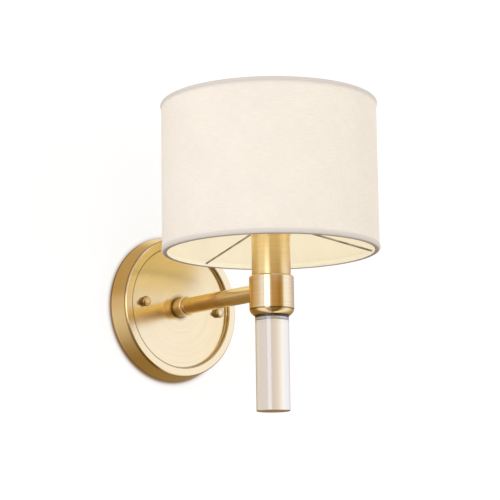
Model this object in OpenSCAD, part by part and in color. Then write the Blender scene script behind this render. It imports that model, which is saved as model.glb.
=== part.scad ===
// Wall sconce. A round canopy on a wall bracket carries a straight arm. The arm ends in a cup, which
// holds a sleeved lampholder with a drum shade above it and a solid glass rod below it.
// The canopy's back lies on the wall, the plane y = 0. The arm runs out along -Y and +Z is up. The
// origin is the centre of the canopy's back. Lengths are millimetres and angles are degrees.

/* [Canopy] */
// Diameter over the front edge of the canopy's side wall
canopy_d = 127; // [122:0.5:140]
// How far the side wall spreads out towards the wall, on the radius
canopy_flare = 2.9; // [1:0.1:5]
// Height of the front ring above the wall
canopy_depth = 19.3; // [18.6:0.1:26]
// Thickness of the spun sheet
canopy_sheet = 1.2; // [0.8:0.1:1.6]
// Width of the bevel between the front ring and the side wall
canopy_bevel = 1.6; // [0.8:0.1:2.4]
// Width of the raised front ring, bevel included
ring_w = 8.4; // [6:0.1:11]
// Depth of the round recess inside the front ring
recess_depth = 4; // [2:0.1:4.6]

/* [Wall bracket] */
// Thickness of the bracket's steel
bracket_t = 1.8; // [1.4:0.1:2.4]
// Width of the bracket's two bars
bracket_w = 16; // [14:0.5:20]
// Diameter of the round hub where the bars cross
hub_d = 48; // [44:1:54]
// Diameter of the hole that the house wires come through
wire_hole_d = 26; // [20:0.5:27]
// Distance between the two screws that hold the bracket to its box
box_spacing = 88.9; // [84:0.1:96]
// Diameter of those screws' holes
box_hole_d = 4.8; // [4.2:0.1:5.6]
// Metal between a hole's centre and the end of its bar
bar_end = 8; // [6:0.5:9]

/* [Studs and cap nuts] */
// Distance between the two cap nuts
nut_spacing = 84.3; // [80:0.1:90]
// How far the line of the two cap nuts is turned from level
nut_turn = 2.6; // [-4:0.1:4]
// Diameter of a cap nut's fluted barrel
nut_d = 10.2; // [9:0.1:12]
// Height of a cap nut above the recess
nut_len = 8; // [7:0.1:10]
// Diameter of a stud
stud_d = 4.1; // [3.4:0.1:5]
// Number of flutes round a cap nut
nut_flutes = 16; // [12:1:20]

/* [Arm] */
// Diameter of the arm
arm_d = 15; // [14:0.1:17]
// Wall of the arm's tube
arm_wall = 1.3; // [1:0.1:1.6]
// Distance from the wall to the upright axis of the cup
arm_reach = 146; // [130:0.5:180]
// Length of the collar's barrel at the arm's root
collar_len = 12.3; // [8:0.1:18]
// Length of the collar's neck in front of its bead
neck_len = 3.3; // [2:0.1:6]
// How far the collar stands out over the arm
collar_wall = 1; // [0.8:0.1:1.8]
// Outside diameter of the threaded nipples at both ends of the arm
nipple_d = 9.6; // [8.6:0.1:10]
// Bore of the nipples, which the leads run through
nipple_bore = 6.6; // [6:0.1:7]
// Length of the threaded plugs brazed into the arm's ends
plug_len = 12; // [9:0.5:16]

/* [Cup] */
// Diameter of the cup
cup_d = 38.8; // [38:0.1:42]
// Height of the cup's top above the arm's axis
cup_rise = 12.1; // [12:0.1:16]
// Distance from the arm's axis down to the seam of the cup
cup_drop = 17.8; // [17:0.1:22]
// Height of the rounded shoulder at the cup's top
shoulder_h = 3.2; // [1:0.1:4]
// Width of the groove at the seam
seam_w = 0.8; // [0.4:0.1:1.2]
// Height of the bowl under the seam
bowl_h = 5.5; // [4.6:0.1:8]
// Width of the bowl's lip
lip_w = 0.6; // [0.4:0.1:1]

/* [Sleeve and lampholder] */
// Diameter of the sleeve
sleeve_d = 33.8; // [33.2:0.1:35]
// Wall of the sleeve
sleeve_wall = 1; // [0.8:0.1:1.1]
// How deep the sleeve stands in the cup
sleeve_seat = 4.1; // [3:0.1:5]
// Diameter of the sleeve's flared rim
flare_d = 38.6; // [37:0.1:42]
// Height of the flare
flare_h = 4.5; // [3:0.1:8]
// Thickness of the lampholder's flange, which stands on the flared rim
flange_t = 2.3; // [1.5:0.1:3.5]
// Diameter of the lampholder's neck above the flange
neck_d = 34.4; // [33:0.1:35.4]
// Height of the neck above the flange
neck_h = 9.2; // [8:0.1:12]
// Thickness of the lampholder under its socket
socket_floor = 9; // [7.5:0.1:12]

/* [Shade] */
// Outside diameter of the shade over its hems
shade_d = 190.6; // [160:0.5:220]
// Height of the shade over its hems
shade_h = 132.6; // [120:0.5:160]
// Height of the shade's lower edge above the arm's axis
shade_rise = 33.2; // [30:0.1:45]
// Height of the fitter's ring above the shade's lower edge
fitter_rise = 19.6; // [14:0.1:30]
// Thickness of the fabric
fabric_t = 0.6; // [0.4:0.1:1]
// Thickness of the liner that the fabric is laid on
liner_t = 0.5; // [0.3:0.1:0.8]
// Thickness of the hem tape
hem_t = 0.5; // [0.3:0.1:0.8]
// Height of the hem tape on the outside
hem_h = 5.5; // [4:0.1:12]
// Diameter of the wire rings in the hems
rim_wire_d = 2.4; // [1.6:0.1:3.2]
// Diameter of the fitter's spokes
spoke_d = 2.2; // [1.4:0.1:2.6]
// Number of spokes
spoke_count = 3; // [3:1:4]
// Width of the fitter's flat ring
fitter_ring_w = 4.6; // [4:0.1:8]
// Thickness of the fitter's flat ring
fitter_ring_t = 1.4; // [1:0.1:2]
// Height of the nut that clamps the fitter
ring_nut_h = 4.5; // [3.5:0.1:6]
// Wall of that nut
ring_nut_wall = 3.2; // [2:0.1:3.6]

/* [Bulb] */
// Diameter of the bulb
bulb_d = 60; // [45:0.5:66]
// Length of the bulb from its contact to its top
bulb_len = 108; // [95:0.5:120]
// Diameter of the bulb's screw base
base_d = 26.3; // [25.8:0.1:26.6]
// Length of the bulb's base, contact included
base_len = 27.3; // [25:0.1:29]
// Diameter of the glass where it leaves the base
bulb_neck_d = 28; // [26.8:0.1:30]
// Wall of the bulb's glass
bulb_wall = 0.9; // [0.6:0.1:1.5]
// How much of the bulb's base shows above the lampholder
base_show = 1; // [0.6:0.1:3]

/* [Glass rod] */
// Diameter of the glass rod
rod_d = 29.3; // [26:0.1:29.9]
// Length of the glass rod
rod_len = 78.7; // [50:0.5:120]
// Polished chamfer on the rod's two edges
rod_chamfer = 0.6; // [0.3:0.1:1.5]
// Height of the steel ferrule bonded to the rod's top
ferrule_h = 6.6; // [5.5:0.1:8]
// How much of the ferrule shows below the bowl's lip
ferrule_show = 3.2; // [2.4:0.1:4]
// Number of grooves round the ferrule
ferrule_grooves = 40; // [32:1:44]
// Diameter of the stud between the ferrule and the cup
rod_stud_d = 6; // [5:0.1:7]

/* [Wiring] */
// Diameter of an insulated lead
lead_d = 1.9; // [1.6:0.1:2.2]
// Diameter of the bare ground wire
ground_d = 1.6; // [1.2:0.1:1.8]
// Diameter of a wire connector at its mouth
connector_d = 8.6; // [7.6:0.1:8.8]
// Length of a wire connector
connector_len = 16; // [14:0.5:18]

/* [Clearances] */
// Clearance between metal parts that fit in each other, on the radius
fit = 0.05; // [0.03:0.01:0.1]
// Clearance round the soft parts of the shade
soft_gap = 0.3; // [0.2:0.05:0.4]
// Clearance between the bulb's base and the socket's shell, on the radius
screw_fit = 0.08; // [0.05:0.01:0.1]

/* [Hidden] */

// Number of sides of a round form, and of steps in a rounded corner
$fn = 96;
corner_steps = 5;
// Sides of a small groove, of a thin ring's section and of a lead
groove_sides = 24;
ring_sides = 32;
wire_sides = 8;
// Overshoot of a cut past the face that it opens
cut = 1;

// Canopy and bracket
canopy_r = canopy_d / 2;
recess_r = canopy_r - ring_w;
floor_d = canopy_depth - recess_depth;
floor_back_d = floor_d - canopy_sheet;
ring_edge = 0.6;
stud_r = stud_d / 2;
stud_hole_r = stud_r + 0.3;
// A stud ends this far in front of the canopy's recess
stud_grip = 5.4;
stud_nut_t = 2.8;
stud_nut_r = stud_d + 0.1;
nut_r = nut_d / 2;
nut_gap = 0.05;
nut_barrel = 0.58 * nut_len;
nut_chamfer = 0.4;
// The groove under the dome, and how far the dome stands in from the barrel
nut_groove_w = 0.8;
nut_groove_depth = 1.1;
nut_dome_inset = 0.5;
nut_bore_past = 0.5;
flute_r = 0.55;

// Ground screw, on the hub between the two bars
ground_place = [-12.7, -12.7];
ground_shank_r = 1.9;
ground_loop_r = ground_shank_r + ground_d / 2 + 0.3;
ground_wire_d = bracket_t + ground_d / 2 + 0.1;
ground_head_d = bracket_t + ground_d + 0.2;
ground_head_t = 2.6;
ground_washer_t = 0.9;

// Arm
arm_r = arm_d / 2;
arm_bore_r = arm_r - arm_wall;
collar_r = arm_r + collar_wall;
collar_neck_r = arm_r + 0.65 * collar_wall;
bead_w = 1;
bead_rise = 0.35;
nipple_r = nipple_d / 2;
nipple_hole_r = nipple_r + fit;
washer_t = 1;
hex_nut_t = 3;
// The canopy's nipple reaches this far past its lock nut, and each nipple stops short of its plug's end
nipple_past = 1.6;
nipple_short = 1;
// Gap between the arm's end plug and the cup
plug_gap = 0.3;
canopy_nipple_d = floor_back_d - washer_t - hex_nut_t - nipple_past;
lock_nut_r = nipple_r + 2.6;

// Cup
cup_r = cup_d / 2;
sleeve_r = sleeve_d / 2;
sleeve_bore_r = sleeve_r - sleeve_wall;
cup_bore_r = sleeve_r - 1;
sleeve_z = cup_rise - sleeve_seat;
seam_top_z = -cup_drop + seam_w / 2;
seam_bottom_z = -cup_drop - seam_w / 2;
lip_z = -cup_drop - bowl_h;
// Flat on the inside of the cup that the arm's lock nut seats on, as a distance from the axis
spot_face_depth = 0.2;
spot_face_y = cup_bore_r - spot_face_depth;
nut_room = 0.3;
cup_nut_t = 3;
cup_nipple_past = 0.9;
cup_nipple_end = spot_face_y - cup_nut_t - cup_nipple_past;
// Rounding of the cup's shoulder stops this far outside the sleeve
shoulder_land = 0.3;
edge_chamfer = 0.3;
// The bowl stands in from the cup, and in again at the seam, and swells by a little on its way down
bowl_inset = 0.1;
seam_depth = 1.2;
bowl_swell = 0.55;

// Glass rod under the cup
rod_r = rod_d / 2;
rod_top_z = lip_z - ferrule_show;
ferrule_top_z = rod_top_z + ferrule_h;
ferrule_hole_depth = 0.7 * ferrule_h;
ferrule_groove_r = 0.4;
ferrule_land = 0.5;
rod_stud_r = rod_stud_d / 2;
// The stud stops short of the ferrule hole's floor and reaches past its nut
stud_tip_gap = 0.2;
stud_past = 1.2;
mouth_gap = 0.35;
mouth_r = rod_r + mouth_gap;
web_bottom_z = ferrule_top_z + fit;
web_t = 3.6;
web_top_z = web_bottom_z + web_t;
skirt_h = 2.4;
skirt_w = 2.4;
strap_t = 0.8;
strap_w = 8;
// Metal of the strap past its two holes
strap_foot = 4;
strap_tab = 3.5;
rod_nut_h = 4.4;
rod_nut_r = rod_stud_r + 2.8;
rod_nut_z = web_top_z + strap_t;

// Lampholder. A sprung strip on the socket's floor stands under the bulb's contact.
contact_t = 0.6;
contact_rise = 2.6;
contact_gap = 0.1;
contact_half = 3;
contact_far = 9;
contact_knee = 4;
contact_bend = 1.6;
fitter_z = shade_rise + fitter_rise;
flange_z = fitter_z - flange_t;
neck_top_z = fitter_z + neck_h;
holder_gap = 0.3;
holder_r = sleeve_bore_r - holder_gap;
flange_inset = 0.3;
bulb_z = neck_top_z + base_show - base_len;
socket_z = bulb_z - contact_gap - contact_rise;
holder_z = socket_z - socket_floor;
neck_r = neck_d / 2;
base_r = base_d / 2;
shell_r = base_r + screw_fit;
shell_wall = 0.65;
shell_z = socket_z + 3.5;
// The shell ends below the lampholder's mouth and has a lip turned in at its bottom
shell_sink = 1.5;
shell_lip_w = 1.6;
shell_lip_h = 0.6;
strap_gap = 1.7;
strap_y = cup_bore_r - skirt_w - strap_gap;
strap_screw_y = 8;
strap_screw_r = 1.5;
strap_screw_head = 2;

// Bulb
bulb_r = bulb_d / 2;
bulb_base_top_z = bulb_z + base_len;
bulb_centre_z = bulb_z + bulb_len - bulb_r;
bulb_neck_r = bulb_neck_d / 2;
bulb_button_h = 1.6;
insulator_h = 3.6;

// Shade, from the outside in
shade_r = shade_d / 2;
shade_top_z = shade_rise + shade_h;
fabric_r = shade_r - hem_t - soft_gap;
liner_r = fabric_r - fabric_t - soft_gap;
rim_wire_r = rim_wire_d / 2;
rim_r = liner_r - liner_t - soft_gap - rim_wire_r;
hem_inset = hem_t + soft_gap;
rim_low_z = shade_rise + hem_inset + rim_wire_r;
rim_high_z = shade_top_z - hem_inset - rim_wire_r;
spoke_r = spoke_d / 2;
fitter_gap = 0.15;
fitter_bore_r = neck_r + fitter_gap;
fitter_r = fitter_bore_r + fitter_ring_w;
ring_nut_r = neck_r + fit + ring_nut_wall;
ring_nut_z = fitter_z + fitter_ring_t;
// Spanner notches in the ring nut's top
notch_w = 3;
notch_h = 1.5;
notches = 6;
// Roundings of a hem's inner and outer edge
hem_round_in = 0.15;
hem_round_out = 0.25;

// Wiring
lead_r = lead_d / 2;
connector_r = connector_d / 2;
connector_d_mid = (bracket_t + floor_back_d) / 2;
connector_x = 12;
connector_z = 20;
ground_connector_z = 23;
connector_grip = 9;
// A connector's tip, its hole round a lead and the skirt at its mouth
connector_tip = 0.6;
connector_play = 0.3;
connector_skirt = 2.4;
connector_edge = 0.6;
// Places of the leads, and how deep they stand in the lampholder
lead_x = 4.5;
lead_plunge = 2.4;
lead_play = 0.25;
lead_side_x = lead_r + 0.35;

// Places on the object. A wall place has its x, its z and its distance from the wall. A post place is
// measured from the upright axis of the cup.
function from_wall(x, z, d) = [x, -d, z];
function from_post(x, y, z) = [x, y - arm_reach, z];

module out_from_wall() {
    rotate([90, 0, 0]) children();
}

module on_post() {
    translate([0, -arm_reach, 0]) children();
}

module at_stud(side) {
    rotate([0, 0, -nut_turn]) translate([side * nut_spacing / 2, 0, 0]) children();
}

// Points of an elliptic arc round a centre
function arc(cx, cy, rx, ry, from, to) = [
    for (i = [0:corner_steps])
        let (a = from + (to - from) * i / corner_steps)
        [cx + rx * cos(a), cy + ry * sin(a)]
];

// Points of a shallow curve from p to q that bulges by sag to the right of the way there
function bulged(p, q, sag) = [
    for (i = [0:corner_steps])
        let (t = i / corner_steps, along = q - p, off = [along[1], -along[0]] / norm(along))
        p + along * t + off * 4 * sag * t * (1 - t)
];

module turned(points) {
    rotate_extrude() polygon(points);
}

module tube(outer, inner, low, high) {
    difference() {
        translate([0, 0, low]) cylinder(r = outer, h = high - low);
        translate([0, 0, low - cut]) cylinder(r = inner, h = high - low + 2 * cut);
    }
}

module hex_nut(corner_r, hole_r, low, high) {
    difference() {
        translate([0, 0, low]) cylinder(r = corner_r, h = high - low, $fn = 6);
        translate([0, 0, low - cut]) cylinder(r = hole_r, h = high - low + 2 * cut);
    }
}

// A wire swept along a smooth curve through the route's points. Each span is a cubic through its two
// ends, with the slope at an end set by the points on either side of it.
function curve_point(a, b, c, d, t) =
    0.5 * (2 * b + (c - a) * t + (2 * a - 5 * b + 4 * c - d) * t * t
        + (3 * b - a - 3 * c + d) * t * t * t);
function smooth(route, steps) = [
    for (i = [0:len(route) - 2])
        let (a = route[max(i - 1, 0)], b = route[i], c = route[i + 1], d = route[min(i + 2, len(route) - 1)])
        for (s = [0:steps - 1])
            curve_point(a, b, c, d, s / steps),
    route[len(route) - 1]
];
function unit(v) = v / norm(v);
function ring_at(path, i, r, side) =
    let (
        way = unit(path[min(i + 1, len(path) - 1)] - path[max(i - 1, 0)]),
        u = unit(side - (side * way) * way),
        v = cross(way, u)
    )
    [
        for (k = [0:wire_sides - 1])
            let (a = 360 * k / wire_sides)
            path[i] + r * (cos(a) * u + sin(a) * v)
    ];

module wire(route, steps, r, side) {
    path = smooth(route, steps);
    rings = len(path);
    points = [for (i = [0:rings - 1]) each ring_at(path, i, r, side)];
    walls = [
        for (i = [0:rings - 2], k = [0:wire_sides - 1])
            let (a = i * wire_sides + k, b = i * wire_sides + (k + 1) % wire_sides)
            each [[a, b + wire_sides, b], [a, a + wire_sides, b + wire_sides]]
    ];
    start = [for (k = [0:wire_sides - 1]) k];
    end = [for (k = [wire_sides - 1:-1:0]) (rings - 1) * wire_sides + k];
    polyhedron(points = points, faces = concat([start], walls, [end]));
}

// Wall bracket and what is screwed to it
module bar(length, width) {
    translate([-length / 2, -width / 2, 0]) cube([length, width, bracket_t]);
}

module bracket_hole(place, r) {
    translate([place[0], place[1], -cut]) cylinder(r = r, h = bracket_t + 2 * cut);
}

module wall_bracket() {
    color([0.78, 0.78, 0.75]) out_from_wall() difference() {
        union() {
            cylinder(d = hub_d, h = bracket_t);
            bar(nut_spacing + 2 * bar_end, bracket_w);
            bar(bracket_w, box_spacing + 2 * bar_end);
        }
        bracket_hole([0, 0], wire_hole_d / 2);
        for (side = [-1, 1]) {
            bracket_hole([0, side * box_spacing / 2], box_hole_d / 2);
            at_stud(side) bracket_hole([0, 0], stud_r + fit);
        }
        bracket_hole(ground_place, ground_shank_r + fit);
    }
}

module mounting_studs() {
    color([0.72, 0.72, 0.7]) out_from_wall() for (side = [-1, 1])
        at_stud(side) cylinder(r = stud_r, h = floor_d + stud_grip);
}

module stud_lock_nuts() {
    color([0.75, 0.75, 0.72]) out_from_wall() for (side = [-1, 1])
        at_stud(side) hex_nut(stud_nut_r, stud_r + fit, bracket_t, bracket_t + stud_nut_t);
}

module ground_screw() {
    color([0.25, 0.55, 0.3]) out_from_wall() translate([ground_place[0], ground_place[1], 0]) {
        cylinder(r = ground_shank_r, h = ground_head_d + ground_washer_t);
        translate([0, 0, ground_head_d]) cylinder(r = 2.4 * ground_shank_r, h = ground_washer_t);
        translate([0, 0, ground_head_d + ground_washer_t / 2])
            cylinder(r = 2 * ground_shank_r, h = ground_head_t, $fn = 6);
    }
}

// The canopy is one spun sheet: a recess with the arm at its centre, a raised ring, a bevel and a side
// wall that spreads out to the wall.
module backplate() {
    ring_d = canopy_depth - canopy_sheet;
    bevel_d = canopy_depth - canopy_bevel;
    wall_r = canopy_r + canopy_flare;
    outside = concat(
        [[nipple_hole_r, floor_d], [recess_r, floor_d]],
        arc(recess_r + ring_edge, canopy_depth - ring_edge, ring_edge, ring_edge, 180, 90),
        [[canopy_r - canopy_bevel, canopy_depth], [canopy_r, bevel_d], [wall_r, 0]]
    );
    inside = [
        [wall_r - canopy_sheet, 0], [canopy_r - canopy_sheet, bevel_d - canopy_sheet / 3],
        [canopy_r - canopy_bevel - canopy_sheet / 3, ring_d], [recess_r + canopy_sheet, ring_d],
        [recess_r + canopy_sheet, floor_back_d], [nipple_hole_r, floor_back_d]
    ];
    color([0.8, 0.62, 0.36]) out_from_wall() difference() {
        turned(concat(outside, inside));
        for (side = [-1, 1])
            at_stud(side) translate([0, 0, floor_back_d - cut])
                cylinder(r = stud_hole_r, h = canopy_sheet + 2 * cut);
    }
}

// A cap nut: a fluted barrel, a groove and a domed end, on a blind bore
module cap_nut(side) {
    dome_d = nut_barrel + nut_groove_w;
    groove_d = nut_barrel + 0.4 * nut_groove_w;
    bore_d = stud_grip + nut_bore_past;
    profile = concat(
        [[stud_r + fit, 0], [nut_r - nut_chamfer, 0], [nut_r, nut_chamfer],
        [nut_r, nut_barrel - nut_chamfer], [nut_r - nut_chamfer, nut_barrel],
        [nut_r - nut_groove_depth, groove_d]],
        arc(0, dome_d, nut_r - nut_dome_inset, nut_len - dome_d, 0, 90),
        [[0, bore_d], [stud_r + fit, bore_d]]
    );
    color([0.78, 0.58, 0.36]) out_from_wall() at_stud(side) translate([0, 0, floor_d + nut_gap])
        difference() {
            turned(profile);
            for (i = [0:nut_flutes - 1])
                rotate([0, 0, 360 * i / nut_flutes]) translate([nut_r + flute_r / 3, 0, -cut])
                    cylinder(r = flute_r, h = groove_d + cut, $fn = groove_sides);
        }
}

module cap_nut_left() {
    cap_nut(-1);
}

module cap_nut_right() {
    cap_nut(1);
}

// The arm and what joins it to the canopy
module canopy_nipple() {
    color([0.7, 0.7, 0.68]) out_from_wall()
        tube(nipple_r, nipple_bore / 2, canopy_nipple_d, floor_d + plug_len - nipple_short);
}

module canopy_washer() {
    color([0.68, 0.68, 0.66]) out_from_wall()
        tube(lock_nut_r, nipple_hole_r, floor_back_d - washer_t, floor_back_d);
}

module canopy_lock_nut() {
    high = floor_back_d - washer_t;
    color([0.75, 0.75, 0.72]) out_from_wall() hex_nut(lock_nut_r, nipple_hole_r, high - hex_nut_t, high);
}

module arm_root_plug() {
    color([0.72, 0.56, 0.32]) out_from_wall()
        tube(arm_bore_r - fit, nipple_hole_r, floor_d, floor_d + plug_len);
}

module arm_collar() {
    bead_d = floor_d + collar_len;
    end_d = bead_d + neck_len;
    chamfer = 0.4;
    profile = concat(
        [[arm_r + fit, floor_d], [collar_r - chamfer, floor_d], [collar_r, floor_d + chamfer],
        [collar_r, bead_d - bead_w]],
        arc(collar_r, bead_d - bead_w / 2, bead_rise, bead_w / 2, -90, 90),
        [[collar_neck_r, bead_d], [collar_neck_r, end_d - chamfer],
        [collar_neck_r - chamfer, end_d], [arm_r + fit, end_d]]
    );
    color([0.72, 0.52, 0.3]) out_from_wall() turned(profile);
}

// The arm's far end is coped to the round of the cup
module arm_tube() {
    color([0.8, 0.62, 0.36]) difference() {
        out_from_wall() tube(arm_r, arm_bore_r, floor_d, arm_reach - cup_r + arm_r);
        on_post() translate([0, 0, -cup_d]) cylinder(r = cup_r + fit, h = 2 * cup_d);
    }
}

module arm_end_plug() {
    high = arm_reach - cup_r - plug_gap;
    color([0.72, 0.56, 0.32]) out_from_wall() tube(arm_bore_r - fit, nipple_hole_r, high - plug_len, high);
}

module cup_nipple() {
    color([0.7, 0.7, 0.68]) out_from_wall()
        tube(nipple_r, nipple_bore / 2, arm_reach - cup_r - plug_len + nipple_short,
            arm_reach - cup_nipple_end);
}

module cup_lock_nut() {
    low = arm_reach - spot_face_y;
    color([0.75, 0.75, 0.72]) out_from_wall() hex_nut(lock_nut_r, nipple_hole_r, low, low + cup_nut_t);
}

// The cup, with the arm's hole in its back and a step that the sleeve stands on
module cup() {
    shoulder_w = cup_r - sleeve_r - fit - shoulder_land;
    profile = concat(
        [[cup_bore_r, seam_top_z], [cup_r - edge_chamfer, seam_top_z], [cup_r, seam_top_z + edge_chamfer]],
        arc(cup_r - shoulder_w, cup_rise - shoulder_h, shoulder_w, shoulder_h, 0, 90),
        [[sleeve_r + fit, cup_rise], [sleeve_r + fit, sleeve_z], [cup_bore_r, sleeve_z]]
    );
    color([0.8, 0.62, 0.36]) on_post() difference() {
        turned(profile);
        rotate([-90, 0, 0]) cylinder(r = nipple_hole_r, h = cup_r + cut);
        rotate([-90, 0, 0]) cylinder(r = lock_nut_r + nut_room, h = spot_face_y);
    }
}

// The cup's bottom: a threaded skirt, a web that the rod's stud hangs from, and a bowl whose lip
// closes round the rod's ferrule
module cup_base() {
    skirt_r = cup_bore_r - fit;
    step_r = cup_r - seam_depth;
    bowl_r = cup_r - bowl_inset;
    lip_r = mouth_r + lip_w;
    profile = concat(
        [[rod_stud_r + fit, web_bottom_z], [mouth_r, web_bottom_z], [mouth_r, lip_z]],
        bulged([lip_r, lip_z], [bowl_r, seam_bottom_z], bowl_swell),
        [[step_r, seam_bottom_z], [step_r, seam_top_z], [skirt_r, seam_top_z],
        [skirt_r, web_top_z + skirt_h], [skirt_r - skirt_w, web_top_z + skirt_h],
        [skirt_r - skirt_w, web_top_z], [rod_stud_r + fit, web_top_z]]
    );
    color([0.8, 0.62, 0.36]) on_post() turned(profile);
}

module rod_nut() {
    color([0.75, 0.75, 0.72]) on_post()
        hex_nut(rod_nut_r, rod_stud_r + fit, rod_nut_z, rod_nut_z + rod_nut_h);
}

module rod_stud() {
    low = ferrule_top_z - ferrule_hole_depth + stud_tip_gap;
    color([0.7, 0.7, 0.68]) on_post() translate([0, 0, low])
        cylinder(r = rod_stud_r, h = rod_nut_z + rod_nut_h + stud_past - low);
}

// A steel disc with a threaded hole in its top and fine grooves round its side
module rod_ferrule() {
    color([0.62, 0.62, 0.62]) on_post() difference() {
        translate([0, 0, rod_top_z]) cylinder(r = rod_r, h = ferrule_h);
        translate([0, 0, ferrule_top_z - ferrule_hole_depth])
            cylinder(r = rod_stud_r + fit, h = ferrule_hole_depth + cut);
        for (i = [0:ferrule_grooves - 1])
            rotate([0, 0, 360 * i / ferrule_grooves])
                translate([rod_r + ferrule_groove_r / 4, 0, rod_top_z + ferrule_land])
                    cylinder(r = ferrule_groove_r, h = ferrule_h, $fn = groove_sides);
    }
}

module glass_rod() {
    low = rod_top_z - rod_len;
    color([0.9, 0.92, 0.9, 0.5]) on_post() turned([
        [0, low], [rod_r - rod_chamfer, low], [rod_r, low + rod_chamfer],
        [rod_r, rod_top_z - rod_chamfer], [rod_r - rod_chamfer, rod_top_z], [0, rod_top_z]
    ]);
}

// The lampholder, its sleeve and the strap that ties it to the cup's bottom
module socket_strap() {
    y = -strap_y;
    foot_end = rod_stud_r + strap_foot;
    tab_end = -strap_screw_y + strap_tab;
    outline = [
        [foot_end, web_top_z], [y, web_top_z], [y, holder_z], [tab_end, holder_z],
        [tab_end, holder_z - strap_t], [y + strap_t, holder_z - strap_t],
        [y + strap_t, web_top_z + strap_t], [foot_end, web_top_z + strap_t]
    ];
    color([0.7, 0.7, 0.68]) on_post() difference() {
        rotate([90, 0, 90]) linear_extrude(strap_w, center = true) polygon(outline);
        translate([0, 0, web_top_z - cut]) cylinder(r = rod_stud_r + fit, h = strap_t + 2 * cut);
        translate([0, -strap_screw_y, holder_z - strap_t - cut])
            cylinder(r = strap_screw_r + fit, h = strap_t + 2 * cut);
    }
}

module strap_screw() {
    head_z = holder_z - strap_t - strap_screw_head;
    color([0.75, 0.75, 0.72]) on_post() translate([0, -strap_screw_y, head_z]) {
        cylinder(r = 2 * strap_screw_r, h = strap_screw_head);
        cylinder(r = strap_screw_r, h = strap_screw_head + strap_t + socket_floor / 2);
    }
}

module socket_sleeve() {
    flare_r = flare_d / 2;
    low = flange_z - flare_h;
    spread = flare_r - sleeve_r;
    outside = arc(sleeve_r + spread, low, spread, flare_h, 180, 90);
    inside = [for (p = outside) [p[0] - sleeve_wall, p[1]]];
    color([0.82, 0.65, 0.4]) on_post() turned(concat(
        [[sleeve_bore_r, sleeve_z], [sleeve_r, sleeve_z]],
        outside,
        [for (i = [corner_steps:-1:0]) inside[i]]
    ));
}

module socket_body() {
    flange_r = flare_d / 2 - flange_inset;
    pocket_r = shell_r + shell_wall + fit;
    profile = [
        [0, holder_z], [holder_r, holder_z], [holder_r, flange_z], [flange_r, flange_z],
        [flange_r, fitter_z], [neck_r, fitter_z], [neck_r, neck_top_z],
        [pocket_r, neck_top_z], [pocket_r, socket_z], [0, socket_z]
    ];
    color([0.16, 0.15, 0.14]) on_post() difference() {
        turned(profile);
        translate([0, -strap_screw_y, holder_z - cut])
            cylinder(r = strap_screw_r + fit, h = socket_floor / 2 + cut + stud_tip_gap);
        for (side = [-1, 1])
            translate([side * lead_x, 0, holder_z - cut])
                cylinder(r = lead_r + lead_play, h = lead_plunge + cut + lead_play);
    }
}

module screw_shell() {
    lip_r = shell_r - shell_lip_w;
    lip_z = shell_z + shell_lip_h;
    high = neck_top_z - shell_sink;
    color([0.85, 0.7, 0.4]) on_post() turned([
        [lip_r, shell_z], [shell_r + shell_wall, shell_z], [shell_r + shell_wall, high],
        [shell_r, high], [shell_r, lip_z], [lip_r, lip_z]
    ]);
}

// A sprung brass strip that stands under the bulb's contact
module centre_contact() {
    half = contact_half;
    high = socket_z + contact_rise;
    outline = [
        [-contact_far, socket_z], [-contact_knee, socket_z], [-half, socket_z + contact_t],
        [half / 2, high - contact_t], [half, high - contact_t], [half, high], [-half / 2, high],
        [-contact_knee, socket_z + contact_bend * contact_t], [-contact_far, socket_z + contact_t]
    ];
    color([0.85, 0.7, 0.4]) on_post() rotate([90, 0, 90])
        linear_extrude(2 * half, center = true) polygon(outline);
}

// The shade's fitter: a flat ring that drops over the lampholder's neck, spokes that slope down, and
// the wire ring in the shade's lower hem
module spoke() {
    from = [fitter_r - spoke_r / 2, fitter_z + spoke_r];
    to = [rim_r, rim_low_z];
    way = to - from;
    translate([from[0], 0, from[1]]) rotate([0, 90 - atan2(way[1], way[0]), 0])
        cylinder(r = spoke_r, h = norm(way));
}

module rim_wire(z) {
    translate([0, 0, z]) rotate_extrude() translate([rim_r, 0]) circle(r = rim_wire_r, $fn = ring_sides);
}

module shade_fitter() {
    color([0.35, 0.3, 0.24]) on_post() {
        tube(fitter_r, fitter_bore_r, fitter_z, fitter_z + fitter_ring_t);
        for (i = [0:spoke_count - 1])
            rotate([0, 0, 90 + 360 * i / spoke_count]) spoke();
        rim_wire(rim_low_z);
    }
}

// A ring nut with six spanner notches in its top
module shade_ring_nut() {
    color([0.8, 0.62, 0.36]) on_post() difference() {
        tube(ring_nut_r, neck_r + fit, ring_nut_z, ring_nut_z + ring_nut_h);
        for (i = [0:notches - 1])
            rotate([0, 0, 360 * i / notches])
                translate([ring_nut_r - ring_nut_wall / 2, -notch_w / 2, ring_nut_z + ring_nut_h - notch_h])
                    cube([ring_nut_wall, notch_w, notch_h + cut]);
    }
}

module shade_top_ring() {
    color([0.35, 0.3, 0.24]) on_post() rim_wire(rim_high_z);
}

module shade_liner() {
    color([0.97, 0.93, 0.8]) on_post()
        tube(liner_r, liner_r - liner_t, shade_rise + hem_inset, shade_top_z - hem_inset);
}

module shade_fabric() {
    color([0.95, 0.92, 0.86]) on_post()
        tube(fabric_r, fabric_r - fabric_t, shade_rise + hem_inset, shade_top_z - hem_inset);
}

// A hem: tape down the outside of the fabric, round the shade's edge and over the wire ring
module hem(edge_z, way) {
    fold_r = rim_r - rim_wire_r - soft_gap;
    web_z = edge_z - way * hem_t;
    color([0.88, 0.86, 0.86]) on_post() turned([
        [fold_r, web_z], [fold_r, edge_z - way * hem_round_in], [fold_r + hem_round_in, edge_z],
        [shade_r - hem_round_out, edge_z], [shade_r, edge_z - way * hem_round_out],
        [shade_r, edge_z - way * hem_h], [shade_r - hem_t, edge_z - way * hem_h], [shade_r - hem_t, web_z]
    ]);
}

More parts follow.
